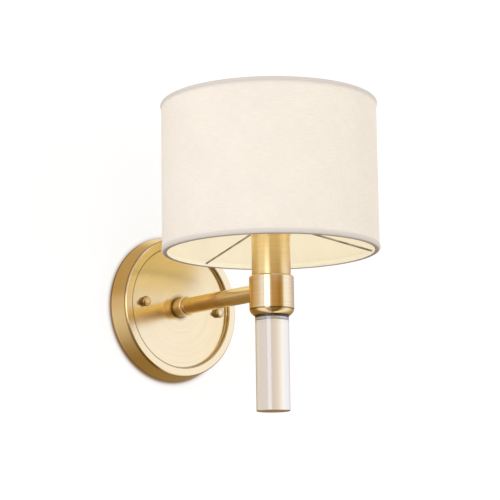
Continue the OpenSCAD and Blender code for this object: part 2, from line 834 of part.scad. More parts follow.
module shade_hem_top() {
    hem(shade_top_z, 1);
}

module shade_hem_bottom() {
    hem(shade_rise, -1);
}

// The bulb. Its glass is a sphere that draws in to the neck along a smooth curve.
function bulb_outline(inset) =
    let (
        low = bulb_base_top_z,
        tangent = -28,
        start = [(bulb_r - inset) * cos(tangent), bulb_centre_z + (bulb_r - inset) * sin(tangent)],
        neck = bulb_neck_r - inset,
        steps = 8
    )
    concat(
        [for (i = [0:steps - 1])
            let (t = i / steps, s = t * t * (3 - 2 * t) * 0.45 + t * t * 0.55)
            [neck + (start[0] - neck) * s, low + (start[1] - low) * t]],
        [for (i = [0:steps * 2])
            let (a = tangent + (90 - tangent) * i / (steps * 2))
            [(bulb_r - inset) * cos(a), bulb_centre_z + (bulb_r - inset) * sin(a)]]
    );

module bulb_glass() {
    outside = bulb_outline(0);
    inside = bulb_outline(bulb_wall);
    color([0.96, 0.95, 0.92]) on_post() turned(concat(
        outside,
        [for (i = [len(inside) - 1:-1:0]) inside[i]]
    ));
}

module bulb_base() {
    low = bulb_z + bulb_button_h;
    shell_low = low + insulator_h;
    crown = bulb_base_top_z - 0.05;
    color([0.75, 0.74, 0.7]) on_post() turned([
        [0, low], [4.2, low], [base_r - 1.6, shell_low - 0.6], [base_r - 0.7, shell_low],
        [base_r, shell_low + 0.9], [base_r, crown - 1], [base_r - 0.4, crown], [0, crown]
    ]);
}

module bulb_contact() {
    contact_r = 4.4;
    low = bulb_z;
    color([0.7, 0.68, 0.62]) on_post() turned([
        [0, low], [contact_r - 1.6, low + 0.2], [contact_r - 0.5, low + 0.8],
        [contact_r, bulb_z + bulb_button_h - 0.05], [0, bulb_z + bulb_button_h - 0.05]
    ]);
}

// The leads run from the lampholder down into the cup, through the arm and into the canopy, where
// each turns up to its connector.
function lead_route(side) = [
    from_post(side * lead_x, 0, holder_z + lead_plunge),
    from_post(side * lead_x, 0, holder_z - 3),
    from_post(side * (lead_x - 0.2), 0.8, holder_z / 2 + 0.5),
    from_post(side * (lead_x - 1.2), 3.6, 3.2),
    from_post(side * (lead_side_x + 0.7), 7.6, 0.6),
    from_post(side * lead_side_x, cup_nipple_end, 0),
    from_wall(side * lead_side_x, 0, arm_reach - cup_r),
    from_wall(side * lead_side_x, 0, arm_reach / 2),
    from_wall(side * lead_side_x, 0, floor_d),
    from_wall(side * lead_side_x, 0, canopy_nipple_d + 1),
    from_wall(side * (lead_side_x + 0.7), 2.2, canopy_nipple_d - 2.6),
    from_wall(side * 5, 7.4, bracket_t + 2.6),
    from_wall(side * 9.6, 12.6, (bracket_t + 2.6 + connector_d_mid) / 2 - 0.4),
    from_wall(side * (connector_x - 0.2), connector_z - 2, connector_d_mid - 0.3),
    from_wall(side * connector_x, connector_z + 2, connector_d_mid),
    from_wall(side * connector_x, connector_z + connector_grip, connector_d_mid)
];

module lead_black() {
    color([0.12, 0.12, 0.12]) wire(lead_route(-1), 3, lead_r, [1, 0, 0]);
}

module lead_white() {
    color([0.9, 0.9, 0.88]) wire(lead_route(1), 3, lead_r, [1, 0, 0]);
}

// The ground wire loops under its screw's head and runs to its own connector.
module ground_wire() {
    start = -30;
    leave = 255;
    turns = 9;
    loop = [
        for (i = [0:turns])
            let (a = start + (leave - start) * i / turns)
            from_wall(ground_place[0] + ground_loop_r * cos(a), ground_place[1] + ground_loop_r * sin(a),
                ground_wire_d)
    ];
    run = [
        from_wall(-9, -17, ground_wire_d + 0.4),
        from_wall(-4.6, -18.6, (ground_wire_d + connector_d_mid) / 2 - 0.4),
        from_wall(-1.2, -20.6, connector_d_mid - 0.6),
        from_wall(0, -ground_connector_z - 1.5, connector_d_mid),
        from_wall(0, -ground_connector_z - connector_grip, connector_d_mid)
    ];
    color([0.8, 0.5, 0.3]) wire(concat(loop, run), 2, ground_d / 2, [0, 1, 0]);
}

// A twist-on connector: a cone with a blind hole, standing on its mouth
module connector() {
    tip_r = connector_tip * connector_r;
    hole_r = lead_r + connector_play;
    hole_end = connector_grip + 1;
    edge = connector_edge;
    turned([
        [hole_r, 0], [connector_r - edge, 0], [connector_r, edge], [connector_r, connector_skirt],
        [connector_r - edge, connector_skirt + edge], [tip_r, connector_len - edge],
        [tip_r - edge, connector_len], [0, connector_len], [0, hole_end], [hole_r, hole_end]
    ]);
}

module wire_connectors() {
    color([0.85, 0.45, 0.15]) {
        for (side = [-1, 1])
            translate(from_wall(side * connector_x, connector_z, connector_d_mid)) connector();
        translate(from_wall(0, -ground_connector_z, connector_d_mid)) rotate([180, 0, 0]) connector();
    }
}

wall_bracket();
mounting_studs();
stud_lock_nuts();
ground_screw();
backplate();
cap_nut_left();
cap_nut_right();
canopy_nipple();
canopy_washer();
canopy_lock_nut();
arm_collar();
arm_root_plug();
arm_tube();
arm_end_plug();
cup_nipple();
cup_lock_nut();
cup();
cup_base();
rod_nut();
rod_stud();
rod_ferrule();
glass_rod();
socket_strap();
strap_screw();
socket_sleeve();
socket_body();
screw_shell();
centre_contact();
shade_fitter();
shade_ring_nut();
shade_top_ring();
shade_liner();
shade_fabric();
shade_hem_top();
shade_hem_bottom();
bulb_glass();
bulb_base();
bulb_contact();
lead_black();
lead_white();
ground_wire();
wire_connectors();
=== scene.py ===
import math

import bmesh
import bpy
import numpy as np
from bpy.props import FloatProperty, FloatVectorProperty, IntProperty, PointerProperty
from mathutils import Matrix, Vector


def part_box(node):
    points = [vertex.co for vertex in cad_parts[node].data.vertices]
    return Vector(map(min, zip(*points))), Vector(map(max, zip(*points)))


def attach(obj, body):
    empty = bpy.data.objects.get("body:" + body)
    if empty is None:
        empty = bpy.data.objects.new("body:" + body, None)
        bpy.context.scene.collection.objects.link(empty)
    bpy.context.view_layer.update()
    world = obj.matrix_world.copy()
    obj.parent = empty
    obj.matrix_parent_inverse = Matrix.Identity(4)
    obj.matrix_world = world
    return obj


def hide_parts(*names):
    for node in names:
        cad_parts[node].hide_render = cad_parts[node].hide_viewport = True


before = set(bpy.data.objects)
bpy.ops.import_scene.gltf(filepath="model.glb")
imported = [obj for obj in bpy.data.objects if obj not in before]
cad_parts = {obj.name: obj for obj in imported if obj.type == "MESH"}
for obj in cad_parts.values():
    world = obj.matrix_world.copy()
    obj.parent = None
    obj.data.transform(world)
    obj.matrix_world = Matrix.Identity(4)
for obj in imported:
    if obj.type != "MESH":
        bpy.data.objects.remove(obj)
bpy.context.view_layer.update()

bl_info = {
    "name": "Wall sconce",
    "version": (1, 0, 0),
    "blender": (4, 5, 0),
    "location": "3D View > Sidebar > Sconce",
    "description": "Dresses the packed solids of a wall sconce with turned brass, linen, glass and wire",
    "category": "Object",
}

MM = 0.001
TURN = 2 * math.pi


def extent(node):
    """Lowest and highest corner of a CAD node, in millimetres."""
    low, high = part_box(node)
    return np.array(low) / MM, np.array(high) / MM


def radius_of(node):
    """The radius of a CAD node that stands round the sconce's middle plane."""
    return extent(node)[1][0]


def heights_of(node):
    """The lowest and the highest height of a CAD node."""
    return [corner[2] for corner in extent(node)]


def depths_of(node):
    """The distances from the wall to the back and to the front of a CAD node."""
    return [-corner[1] for corner in reversed(extent(node))]


# Places read from the solids, in millimetres. Where a drawn piece leaves its solid, the photo asks for it.
CANOPY_R = radius_of("backplate")
CANOPY_DEPTH = depths_of("backplate")[1]
FLOOR_DEPTH = depths_of("arm_tube")[0]
ARM_R = radius_of("arm_tube")
ARM_REACH = float(np.mean(depths_of("glass_rod")))
COLLAR_END = depths_of("arm_collar")[1]
NIPPLE_R = radius_of("canopy_nipple")
CUP_R = radius_of("cup")
CUP_LOW, CUP_TOP = heights_of("cup")
LIP_RAISE = 0.8
LIP_Z = heights_of("cup_base")[0] + LIP_RAISE
SKIRT_TOP = heights_of("cup_base")[1]
FLARE_R = radius_of("socket_sleeve")
SLEEVE_LOW, SLEEVE_TOP = heights_of("socket_sleeve")
ROD_R = radius_of("glass_rod")
ROD_RAISE = 1.8
ROD_LOW, ROD_TOP = np.array(heights_of("glass_rod")) + (0, ROD_RAISE)
FERRULE_TOP = heights_of("rod_ferrule")[1]
STUD_END = depths_of("mounting_studs")[1]
SHADE_R = radius_of("shade_hem_top")
SHADE_LOW = heights_of("shade_hem_bottom")[0]
SHADE_TOP = heights_of("shade_hem_top")[1]
HEM_H = SHADE_TOP - heights_of("shade_hem_top")[0]
CLOTH_R = radius_of("shade_fabric")
CLOTH_LOW, CLOTH_TOP = heights_of("shade_fabric")
LINER_R = radius_of("shade_liner")
RIM_R = radius_of("shade_top_ring")
BULB_R = radius_of("bulb_glass")
BULB_LOW, BULB_TOP = heights_of("bulb_glass")
BASE_R = radius_of("bulb_base")
BASE_LOW, BASE_TOP = heights_of("bulb_base")
SHELL_LOW, SHELL_TOP = heights_of("screw_shell")
BRACKET_T = 1.8
WIRING_DEPTH = (BRACKET_T + FLOOR_DEPTH - 1.2) / 2
PLAY = 0.05


# Outlines. An outline is an array of points (radius, height) with a mark there as a third number: above 0
# the brass is painted paler, as rubbed wear and painted highlight, and below 0 it is painted darker, as
# painted shade in creases, corners and under parts and as dark seams.
def rounded(corners, closed=True, steps=5):
    """Rounds the corners of an outline. Each corner is (x, y, radius), or (x, y, radius, mark) with the mark
    of wear or painted light in the middle of its arc, which is 1 without a mark. The arc touches both sides
    at the distance radius / tan(half the corner's angle), at most 0.45 of the shorter side, and a point on
    each side just past it keeps the flats beside the arc flat when they are shaded."""
    points = []
    count = len(corners)
    for i, (x, y, radius, *mark) in enumerate(corners):
        here = np.array([x, y])
        if radius == 0 or (not closed and i in (0, count - 1)):
            points.append([x, y, mark[0] if mark else 0])
            continue
        before = np.array(corners[i - 1][:2]) - here
        after = np.array(corners[(i + 1) % count][:2]) - here
        room = 0.45 * min(np.linalg.norm(before), np.linalg.norm(after))
        before, after = before / np.linalg.norm(before), after / np.linalg.norm(after)
        half = math.acos(float(np.clip(before @ after, -1, 1))) / 2
        touch = min(radius / math.tan(half), room)
        middle = here + (before + after) / np.linalg.norm(before + after) * touch / math.cos(half)
        land = min(0.3 * touch, room - touch) if room > touch else 0
        start, end = here + before * touch, here + after * touch
        dark = 0.7 * min(0, mark[0]) if mark else 0
        if land > 0:
            points.append([*(here + before * (touch + land)), dark])
        t = np.linspace(0, 1, steps + 1)[:, None]
        arms = (1 - t) * (start - middle) + t * (end - middle)
        bow = middle + arms / np.linalg.norm(arms, axis=1)[:, None] * np.linalg.norm(start - middle)
        weight = np.sin(math.pi * t) * (mark[0] if mark else 1)
        points.extend(np.hstack([bow, weight]).tolist())
        if land > 0:
            points.append([*(here + after * (touch + land)), dark])
    return np.array(points, float)


def ribbon(path, thickness):
    """A closed outline round a line: the line moved by half the thickness along its normal, and back along
    the other side. The mark of each point, wear or painted light, goes along."""
    path, mark = path[:, :2], path[:, 2]
    along = np.gradient(path, axis=0)
    along /= np.linalg.norm(along, axis=1)[:, None]
    normal = np.column_stack([along[:, 1], -along[:, 0]]) * thickness / 2
    loop = np.vstack([path + normal, (path - normal)[::-1]])
    return np.column_stack([loop, np.concatenate([mark, mark[::-1]])])


def arc(cx, cy, rx, ry, start, end, steps):
    """Points (cx + rx cos a, cy + ry sin a) for angles a in degrees from start to end."""
    a = np.radians(np.linspace(start, end, steps + 1))
    return np.column_stack([cx + rx * np.cos(a), cy + ry * np.sin(a)])


# Surfaces. A surface is (points, faces, marks), the marks being the wear or painted light at each point,
# with faces as index rows, -1 in the last place of a triangle.
def skin(grid, wear, around=True, loop=False, first_pole=False, last_pole=False):
    """Joins a grid of points, rows by columns, with four-sided faces. around closes each row on itself and
    loop joins the last row to the first. A pole shrinks an end row to one point with triangles round it."""
    rows, cols = grid.shape[:2]
    index = np.arange(rows * cols).reshape(rows, cols)
    c = np.arange(cols if around else cols - 1)
    c1 = (c + 1) % cols
    r = np.arange(int(first_pole), (rows if loop else rows - 1) - int(last_pole))
    low, high = index[r], index[(r + 1) % rows]
    faces = [np.stack([low[:, c], low[:, c1], high[:, c1], high[:, c]], axis=-1).reshape(-1, 4)]
    keep = np.ones(rows * cols, bool)
    for pole, row, near in ((first_pole, 0, 1), (last_pole, rows - 1, rows - 2)):
        if pole:
            a, b = index[near, c], index[near, c1]
            order = [b, a] if row == 0 else [a, b]
            faces.append(np.column_stack([np.full(len(c), index[row, 0]), *order, np.full(len(c), -1)]))
            keep[index[row, 1:]] = False
    faces = np.vstack(faces)
    renumber = np.cumsum(keep) - 1
    faces = np.where(faces >= 0, renumber[faces], -1)
    return grid.reshape(-1, 3)[keep], faces, wear.reshape(-1)[keep]


def lathe(outline, sides=192, loop=True, ripple=None):
    """Turns an outline round Z: the point (r cos a, r sin a, h) for each outline point (r, h) and each of
    the evenly spaced angles a. ripple(a, r, h) is added to the radius."""
    a = TURN * np.arange(sides) / sides
    r, h, wear = (np.repeat(outline[:, k:k + 1], sides, axis=1) for k in range(3))
    if ripple is not None:
        r = r + ripple(a[None, :], r, h)
    grid = np.stack([r * np.cos(a), r * np.sin(a), h], axis=-1)
    poles = [not loop and outline[k, 0] < 1e-9 for k in (0, -1)]
    return skin(grid, wear, True, loop, *poles)


def swept(path, radius, sides=16, side=(0, 0, 1)):
    """A round wire along a path: rings of the given radius square to the path, closed at both ends.
    radius is one number or one for each point of the path."""
    way = np.gradient(path, axis=0)
    way /= np.linalg.norm(way, axis=1)[:, None]
    u = np.array(side, float) - (way @ np.array(side, float))[:, None] * way
    u /= np.linalg.norm(u, axis=1)[:, None]
    v = np.cross(way, u)
    a = TURN * np.arange(sides) / sides
    radius = np.broadcast_to(np.asarray(radius, float), (len(path),))[:, None, None]
    ring = np.cos(a)[None, :, None] * u[:, None] + np.sin(a)[None, :, None] * v[:, None]
    grid = path[:, None] + radius * ring
    ends = [np.repeat(path[k][None, None], sides, axis=1) for k in (0, -1)]
    inset = [path[k][None, None] + 0.7 * radius[k] * ring[k][None] for k in (0, -1)]
    grid = np.vstack([ends[0], inset[0], grid, inset[1], ends[1]])
    return skin(grid, np.zeros(grid.shape[:2]), True, False, True, True)


def smooth(route, steps):
    """A curve through the points of a route: each span is the cubic through its two ends whose slope at an
    end is half the step between that end's two neighbours."""
    route = np.array(route, float)
    spans = np.arange(len(route) - 1)
    a, b = route[np.maximum(spans - 1, 0)], route[spans]
    c, d = route[spans + 1], route[np.minimum(spans + 2, len(route) - 1)]
    t = (np.arange(steps) / steps)[None, :, None]
    a, b, c, d = (m[:, None] for m in (a, b, c, d))
    curve = 0.5 * (2 * b + (c - a) * t + (2 * a - 5 * b + 4 * c - d) * t ** 2
                   + (3 * b - a - 3 * c + d) * t ** 3)
    return np.vstack([curve.reshape(-1, 3), route[-1:]])


def thread(pitch, depth, low, high, fade, past):
    """The ripple of a right-handed thread, where the radius is past a limit: it sinks by depth between the
    crests, which climb one pitch in a turn, and it fades out over the last stretch at both ends."""
    def cut(a, r, h):
        wave = 0.5 - 0.5 * np.cos(TURN * (h / pitch - a / TURN))
        ends = np.clip((h - low) / fade, 0, 1) * np.clip((high - h) / fade, 0, 1)
        return -depth * wave * ends * (r > past)
    return cut


def grooves(count, depth, low, high, past, sharpness=1.0):
    """The ripple of straight grooves round a piece, where the radius is past a limit: it drops by depth at
    the bottom of each."""
    def cut(a, r, h):
        wave = (0.5 - 0.5 * np.cos(count * a)) ** sharpness
        return -depth * wave * ((h > low) & (h < high) & (r > past))
    return cut


def unmarked(line):
    """An outline without marks of wear or painted light."""
    return np.column_stack([line, np.zeros(len(line))])


def joined(*surfaces):
    """Several surfaces as one."""
    starts = np.cumsum([0] + [len(s[0]) for s in surfaces[:-1]])
    faces = [np.where(s[1] >= 0, s[1] + start, -1) for s, start in zip(surfaces, starts)]
    return np.vstack([s[0] for s in surfaces]), np.vstack(faces), np.concatenate([s[2] for s in surfaces])


def placed(surface, place):
    """A surface with every point put through a function of an array of points."""
    return place(surface[0]), surface[1], surface[2]


def on_post(points):
    """Moves points from the upright axis of the cup to where that axis stands."""
    return points + np.array([0, -ARM_REACH, 0])


def out_from_wall(points):
    """Turns points so that their Z is the distance from the wall and their Y is the height."""
    return np.column_stack([points[:, 0], -points[:, 2], points[:, 1]])


def at_stud(side):
    """The place of a stud, for points that stand on the wall at the origin."""
    centre = np.mean(extent("cap_nut_left" if side < 0 else "cap_nut_right"), axis=0)

    def place(points):
        return out_from_wall(points) + np.array([centre[0], 0, centre[2]])
    return place


# Pieces
def added(name, data):
    """A new object in the scene."""
    thing = bpy.data.objects.new(name, data)
    bpy.context.scene.collection.objects.link(thing)
    return thing


def mesh_of(name, surface, outwards=True):
    """A mesh in metres from a surface in millimetres. Its faces are turned outwards, or stay as they run."""
    mesh = bpy.data.meshes.new(name)
    mesh.from_pydata((surface[0] * MM).tolist(), [], [[int(k) for k in f if k >= 0] for f in surface[1]])
    if outwards:
        work = bmesh.new()
        work.from_mesh(mesh)
        bmesh.ops.recalc_face_normals(work, faces=work.faces)
        work.to_mesh(mesh)
        work.free()
    return mesh


def make(name, surface, look, stands_for, body="root", sharp=35, uv=None):
    """Makes a piece of a surface, marks edges past an angle as sharp, gives it the finish called look, joins
    it to its body and hides the nodes that it stands for. uv is the place of each point on the
    flat cloth, in millimetres; the faces of a cloth stay as they run."""
    mesh = mesh_of(name, surface, uv is None)
    mesh.attributes.new("wear", "FLOAT", "POINT").data.foreach_set("value", surface[2].astype(np.float32))
    if uv is not None:
        loops = np.zeros(len(mesh.loops), np.int32)
        mesh.loops.foreach_get("vertex_index", loops)
        mesh.uv_layers.new(name="cloth").data.foreach_set("uv", (uv[loops] * MM).astype(np.float32).ravel())
    mesh.shade_smooth()
    mesh.set_sharp_from_angle(angle=math.radians(sharp))
    mesh.materials.append(finish(look))
    piece = added(name, mesh)
    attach(piece, body)
    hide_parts(*stands_for)
    return piece


def drill(piece, *holes, sharp=35):
    """Cuts surfaces out of a piece for good. The holes are closed surfaces that reach past its walls."""
    cutter_mesh = mesh_of("drill", joined(*holes))
    cutter = added("drill", cutter_mesh)
    cut = piece.modifiers.new("drill", "BOOLEAN")
    cut.operation = "DIFFERENCE"
    cut.solver = "EXACT"
    cut.object = cutter
    graph = bpy.context.evaluated_depsgraph_get()
    mesh = bpy.data.meshes.new_from_object(piece.evaluated_get(graph))
    piece.modifiers.clear()
    old = piece.data
    piece.data = mesh
    mesh.name = old.name
    for data in (old, cutter_mesh):
        bpy.data.meshes.remove(data)
    mesh.shade_smooth()
    mesh.set_sharp_from_angle(angle=math.radians(sharp))


def pin(radius, low, high):
    """A closed round rod along Z, used as a drill."""
    return lathe(unmarked([[0, low], [radius, low], [radius, high], [0, high]]), 64, loop=False)


# Shaders
def arithmetic(operation, swapped=False):
    """A method of Sock that adds one Math node. swapped puts the socket itself in the second place."""
    def method(self, other=None):
        values = [v for v in ((other, self) if swapped else (self, other)) if v is not None]
        return self.tree.node("ShaderNodeMath", dict(enumerate(values)), operation=operation)
    return method


class Sock:
    """A value in a shader tree. Arithmetic on it adds Math nodes to the tree."""

    def __init__(self, tree, socket):
        self.tree = tree
        self.socket = socket

    __add__, __radd__ = arithmetic("ADD"), arithmetic("ADD", True)
    __sub__, __rsub__ = arithmetic("SUBTRACT"), arithmetic("SUBTRACT", True)
    __mul__, __rmul__ = arithmetic("MULTIPLY"), arithmetic("MULTIPLY", True)
    __truediv__, __pow__, __abs__ = arithmetic("DIVIDE"), arithmetic("POWER"), arithmetic("ABSOLUTE")
    sin, root = arithmetic("SINE"), arithmetic("SQRT")
    angle_to, larger = arithmetic("ARCTAN2"), arithmetic("MAXIMUM")

    def clamped(self, low, high):
        """0 below low, 1 above high and a smooth rise between them."""
        return self.tree.node("ShaderNodeMapRange", {0: self, 1: low, 2: high, 3: 0.0, 4: 1.0},
                              interpolation_type="SMOOTHSTEP")


class Tree:
    """A shader tree. node() adds a node of any type: its settings first, then its values or links."""

    def __init__(self, owner):
        owner.use_nodes = True
        self.nodes = owner.node_tree.nodes
        self.links = owner.node_tree.links
        self.nodes.clear()

    def node(self, kind, values=None, out=0, stops=None, **settings):
        made = self.nodes.new(kind)
        for name, value in settings.items():
            setattr(made, name, value)
        if stops:
            ramp = made.color_ramp
            while len(ramp.elements) < len(stops):
                ramp.elements.new(0.5)
            for element, (place, colour) in zip(ramp.elements, stops):
                element.position = place
                element.color = (*colour, 1)
        for key, value in (values or {}).items():
            if isinstance(value, Sock):
                self.links.new(value.socket, made.inputs[key])
            else:
                made.inputs[key].default_value = value
        return Sock(self, made.outputs[out])

    def parts(self, vector):
        return [self.node("ShaderNodeSeparateXYZ", {0: vector}, out=k) for k in range(3)]

    def vector(self, x, y, z):
        return self.node("ShaderNodeCombineXYZ", {0: x, 1: y, 2: z})

    def place(self):
        """The point on the piece, in metres in the object's own frame."""
        return self.node("ShaderNodeTexCoord", out="Object")

    def noise(self, vector, scale, detail=3.0, roughness=0.5):
        return self.node("ShaderNodeTexNoise", {"Vector": vector, "Scale": scale, "Detail": detail,
                                                "Roughness": roughness}, out="Fac")

    def mixed(self, factor, first, second):
        """A colour between two colours."""
        return self.node("ShaderNodeMix", {0: factor, 6: first, 7: second}, out=2, data_type="RGBA")

    def bumped(self, height, distance, strength=1.0):
        return self.node("ShaderNodeBump", {"Height": height, "Distance": distance, "Strength": strength})

    def wear(self):
        return self.node("ShaderNodeAttribute", out="Fac", attribute_name="wear")

    def principled(self, **values):
        """A Principled shader. An underscore in the name of a value stands for a space."""
        return self.node("ShaderNodeBsdfPrincipled", {k.replace("_", " "): v for k, v in values.items()})

    def blend(self, factor, first, second):
        """A shader between two shaders."""
        return self.node("ShaderNodeMixShader", {0: factor, 1: first, 2: second})

    def let_light_through(self, share, opaque, colour):
        """Makes the surface of an opaque shader with a share of light that passes through it."""
        through = self.node("ShaderNodeBsdfTranslucent", {"Color": rgba(colour)})
        self.surface(self.blend(share, opaque, through))

    def surface(self, shader, kind="ShaderNodeOutputMaterial"):
        output = self.nodes.new(kind)
        self.links.new(shader.socket, output.inputs["Surface"])


def rgba(colour, level=1.0):
    """A colour of three numbers as four, made lighter or darker by a level or by one level for each."""
    return (*np.minimum(1.0, np.array(colour) * level).tolist(), 1.0)


def finish(name):
    """The material of that name, made once by its function with its row of settings."""
    made = bpy.data.materials.get("made_" + name)
    if made is None:
        made = bpy.data.materials.new("made_" + name)
        paint, row = FINISHES[name]
        paint(Tree(made), bpy.context.scene.sconce_colours, *row)
    return made


def turning(tree, axis):
    """Coordinates for the marks of a lathe, round the arm's axis or the upright one of the cup: two follow
    the direction from the axis and change slowly round the piece, and the third, distance from the axis plus
    height along it, changes fast across the marks."""
    x, y, z = tree.parts(tree.place())
    a, b, h = (x, z, y) if axis == "Y" else (x, y + ARM_REACH * MM, z)
    radius = (a * a + b * b).root()
    across = (radius + h * 1.37) * 2600.0
    return tree.vector(a / radius.larger(0.0004) * 1.4, b / radius.larger(0.0004) * 1.4, across)


def brass(tree, colours, tint, axis, roughness, brush, streak=0.08, drawn=0.0):
    """Lacquered brass turned round an axis. Lathe marks, finer and coarser, change the roughness, the tone
    and the relief, and a slow cloud shifts the tone. Where the mark is above 0 the brass is painted paler,
    as rubbed wear on rounded edges and as painted highlight on beads and rims; below 0 it is painted darker,
    as painted shade in creases, corners and under parts, and as dark seams. drawn is how far the marks draw
    out what the metal mirrors along an upright axis."""
    colour = [c * k for c, k in zip(colours.brass, tint)]
    marks = turning(tree, axis)
    fine = tree.noise(marks, 1.0, 2.0, 0.6)
    coarse = tree.noise(marks, 0.22, 2.0, 0.5)
    cloud = tree.noise(tree.place(), 26.0, 3.0, 0.55)
    wear = tree.wear()
    tone = (cloud * 0.35 + coarse * 0.4 + fine * 0.25).clamped(0.3, 0.7)
    plain = tree.mixed(tone, rgba(colour, 1 - streak), rgba(colour, 1 + 0.8 * streak))
    # Paler where the mark is above 0: rubbed wear on edges and painted highlight on beads and rims
    rubbed_and_painted_highlight = tree.mixed(wear * 0.4, plain, rgba([c ** 0.6 for c in colour]))
    # Darker where the mark is below 0: painted shade in creases, corners and under parts, and dark seams
    dark_seam_and_painted_shade = tree.mixed(wear * -0.9, rubbed_and_painted_highlight, rgba([c * c * 0.25 for c in colour]))
    tree.surface(tree.principled(
        Base_Color=dark_seam_and_painted_shade, Metallic=1.0,
        Roughness=roughness + (fine - 0.5) * brush + (cloud - 0.5) * brush * 0.9,
        Normal=tree.bumped(fine * 0.6 + coarse * 0.4, 0.000004), Anisotropic=drawn,
        Anisotropic_Rotation=0.25, Coat_Weight=0.25, Coat_Roughness=0.16, Specular_IOR_Level=0.5))


def patchy(tree, noise, dark, light, roughness, spread, fade=None, relief=None, **values):
    """A coat that drifts in patches from one colour to another, and by spread from its roughness. noise is
    scale, detail and roughness of the patches, fade where one colour has given way to the other, and relief
    the height and strength of the unevenness."""
    cloud = tree.noise(tree.place(), *noise)
    if relief:
        values["Normal"] = tree.bumped(cloud, *relief)
    tone = cloud.clamped(*fade) if fade else cloud
    tree.surface(tree.principled(Base_Color=tree.mixed(tone, (*dark[:3], 1), (*light[:3], 1)),
                                 Roughness=roughness + cloud * spread, **values))


def insulation(tree, colours, dark, light, roughness):
    """Smooth extruded insulation with a faint cloud and drawing marks."""
    patchy(tree, (300.0,), dark, light, roughness, 0.12, relief=(0.00002, 0.3))


def green_zinc(tree, colours):
    """The green of a ground screw: dyed plating, thin on the edges and patchy."""
    patchy(tree, (420.0,), (0.07, 0.22, 0.1), (0.13, 0.36, 0.17), 0.3, 0.15, (0.3, 0.7), (0.00001, 0.3),
           Metallic=0.75)


def lamp_glass(tree, colours):
    """Bulb glass with a soft white coating inside, uneven by a little, with the lamp dimly lit."""
    patchy(tree, (60.0,), (0.9, 0.89, 0.86), (0.95, 0.94, 0.92), 0.12, 0.08, (0.3, 0.7), Coat_Weight=0.4,
           Emission_Color=(1.0, 0.93, 0.8, 1), Emission_Strength=0.3)


def bronze_wire(tree, colours):
    """Wire with a dark bronze coat that thins here and there."""
    patchy(tree, (130.0, 4.0), rgba(colours.wire, 0.8), rgba(colours.wire, 1.5), 0.34, 0.2, (0.35, 0.7),
           (0.00003, 0.4), Metallic=0.7)


def solder(tree, colours):
    """A dull button of solder, pitted and uneven."""
    patchy(tree, (900.0, 4.0, 0.7), (0.42, 0.41, 0.38), (0.62, 0.6, 0.57), 0.38, 0.2, (0.3, 0.7),
           (0.0001, 0.6), Metallic=1.0)


def copper(tree, colours):
    """Bare drawn copper, tarnished in patches."""
    patchy(tree, (350.0,), (0.78, 0.4, 0.24), (0.55, 0.25, 0.13), 0.24, 0.16, (0.35, 0.7), Metallic=1.0)


def zinc(tree, colours):
    """Zinc plated steel: a pale grey with crystalline patches of another tone and a fine dull grain."""
    place = tree.place()
    spangle = tree.node("ShaderNodeTexVoronoi", {"Vector": place, "Scale": 260.0}, out="Color")
    patch = tree.node("ShaderNodeSeparateColor", {0: spangle})
    grain = tree.noise(place, 1400.0, 2.0)
    tone = (patch * 0.5 + grain * 0.5).clamped(0.1, 0.9)
    tree.surface(tree.principled(
        Base_Color=tree.mixed(tone, rgba(colours.steel, 0.82), rgba(colours.steel, 1.06)), Metallic=1.0,
        Roughness=0.3 + grain * 0.2, Normal=tree.bumped(grain, 0.00001, 0.4)))


def knurled_steel(tree, colours):
    """Nickel finished steel, painted dark as the shade under the bowl's lip, darker still down in the
    grooves as painted shade, and paler where it sits on the glass.
    """
    grain = tree.noise(tree.place(), 900.0, 2.0)
    groove = tree.wear()
    dark = (groove + grain * 0.2).clamped(0.1, 1.0)
    colour = tree.mixed(dark, (0.09, 0.07, 0.05, 1), (0.01, 0.007, 0.005, 1))
    tree.surface(tree.principled(
        Base_Color=tree.mixed(groove * -1.0, colour, (0.32, 0.29, 0.26, 1)), Metallic=1.0,
        Roughness=0.22 + grain * 0.15, Normal=tree.bumped(grain, 0.00001, 0.3)))


def crystal(tree, colours):
    """Solid clear glass with very slow waves in its polish."""
    waves = tree.noise(tree.place(), 55.0, 1.0)
    tree.surface(tree.principled(
        Base_Color=rgba(colours.glass), Roughness=0.015 + waves * 0.01, IOR=1.5, Transmission_Weight=1.0,
        Coat_Weight=1.0, Coat_Roughness=0.02, Normal=tree.bumped(waves, 0.00012, 0.15)))


def phenolic(tree, colours):
    """Moulded black resin with a fine speckle and a faint orange peel."""
    place = tree.place()
    speck = tree.noise(place, 1800.0, 2.0)
    peel = tree.noise(place, 240.0, 2.0)
    colour = tree.mixed(speck.clamped(0.35, 0.75), (0.012, 0.011, 0.01, 1), (0.05, 0.045, 0.04, 1))
    tree.surface(tree.principled(
        Base_Color=colour, Roughness=0.32 + peel * 0.2, Normal=tree.bumped(peel, 0.00003, 0.4)))


def nickel(tree, colours):
    """Thin rolled nickel plate with faint rolling marks."""
    marks = tree.noise(turning(tree, "Z"), 1.0, 2.0)
    tree.surface(tree.principled(
        Base_Color=tree.mixed(marks, (0.66, 0.65, 0.62, 1), (0.76, 0.75, 0.72, 1)), Metallic=1.0,
        Roughness=0.2 + marks * 0.14))


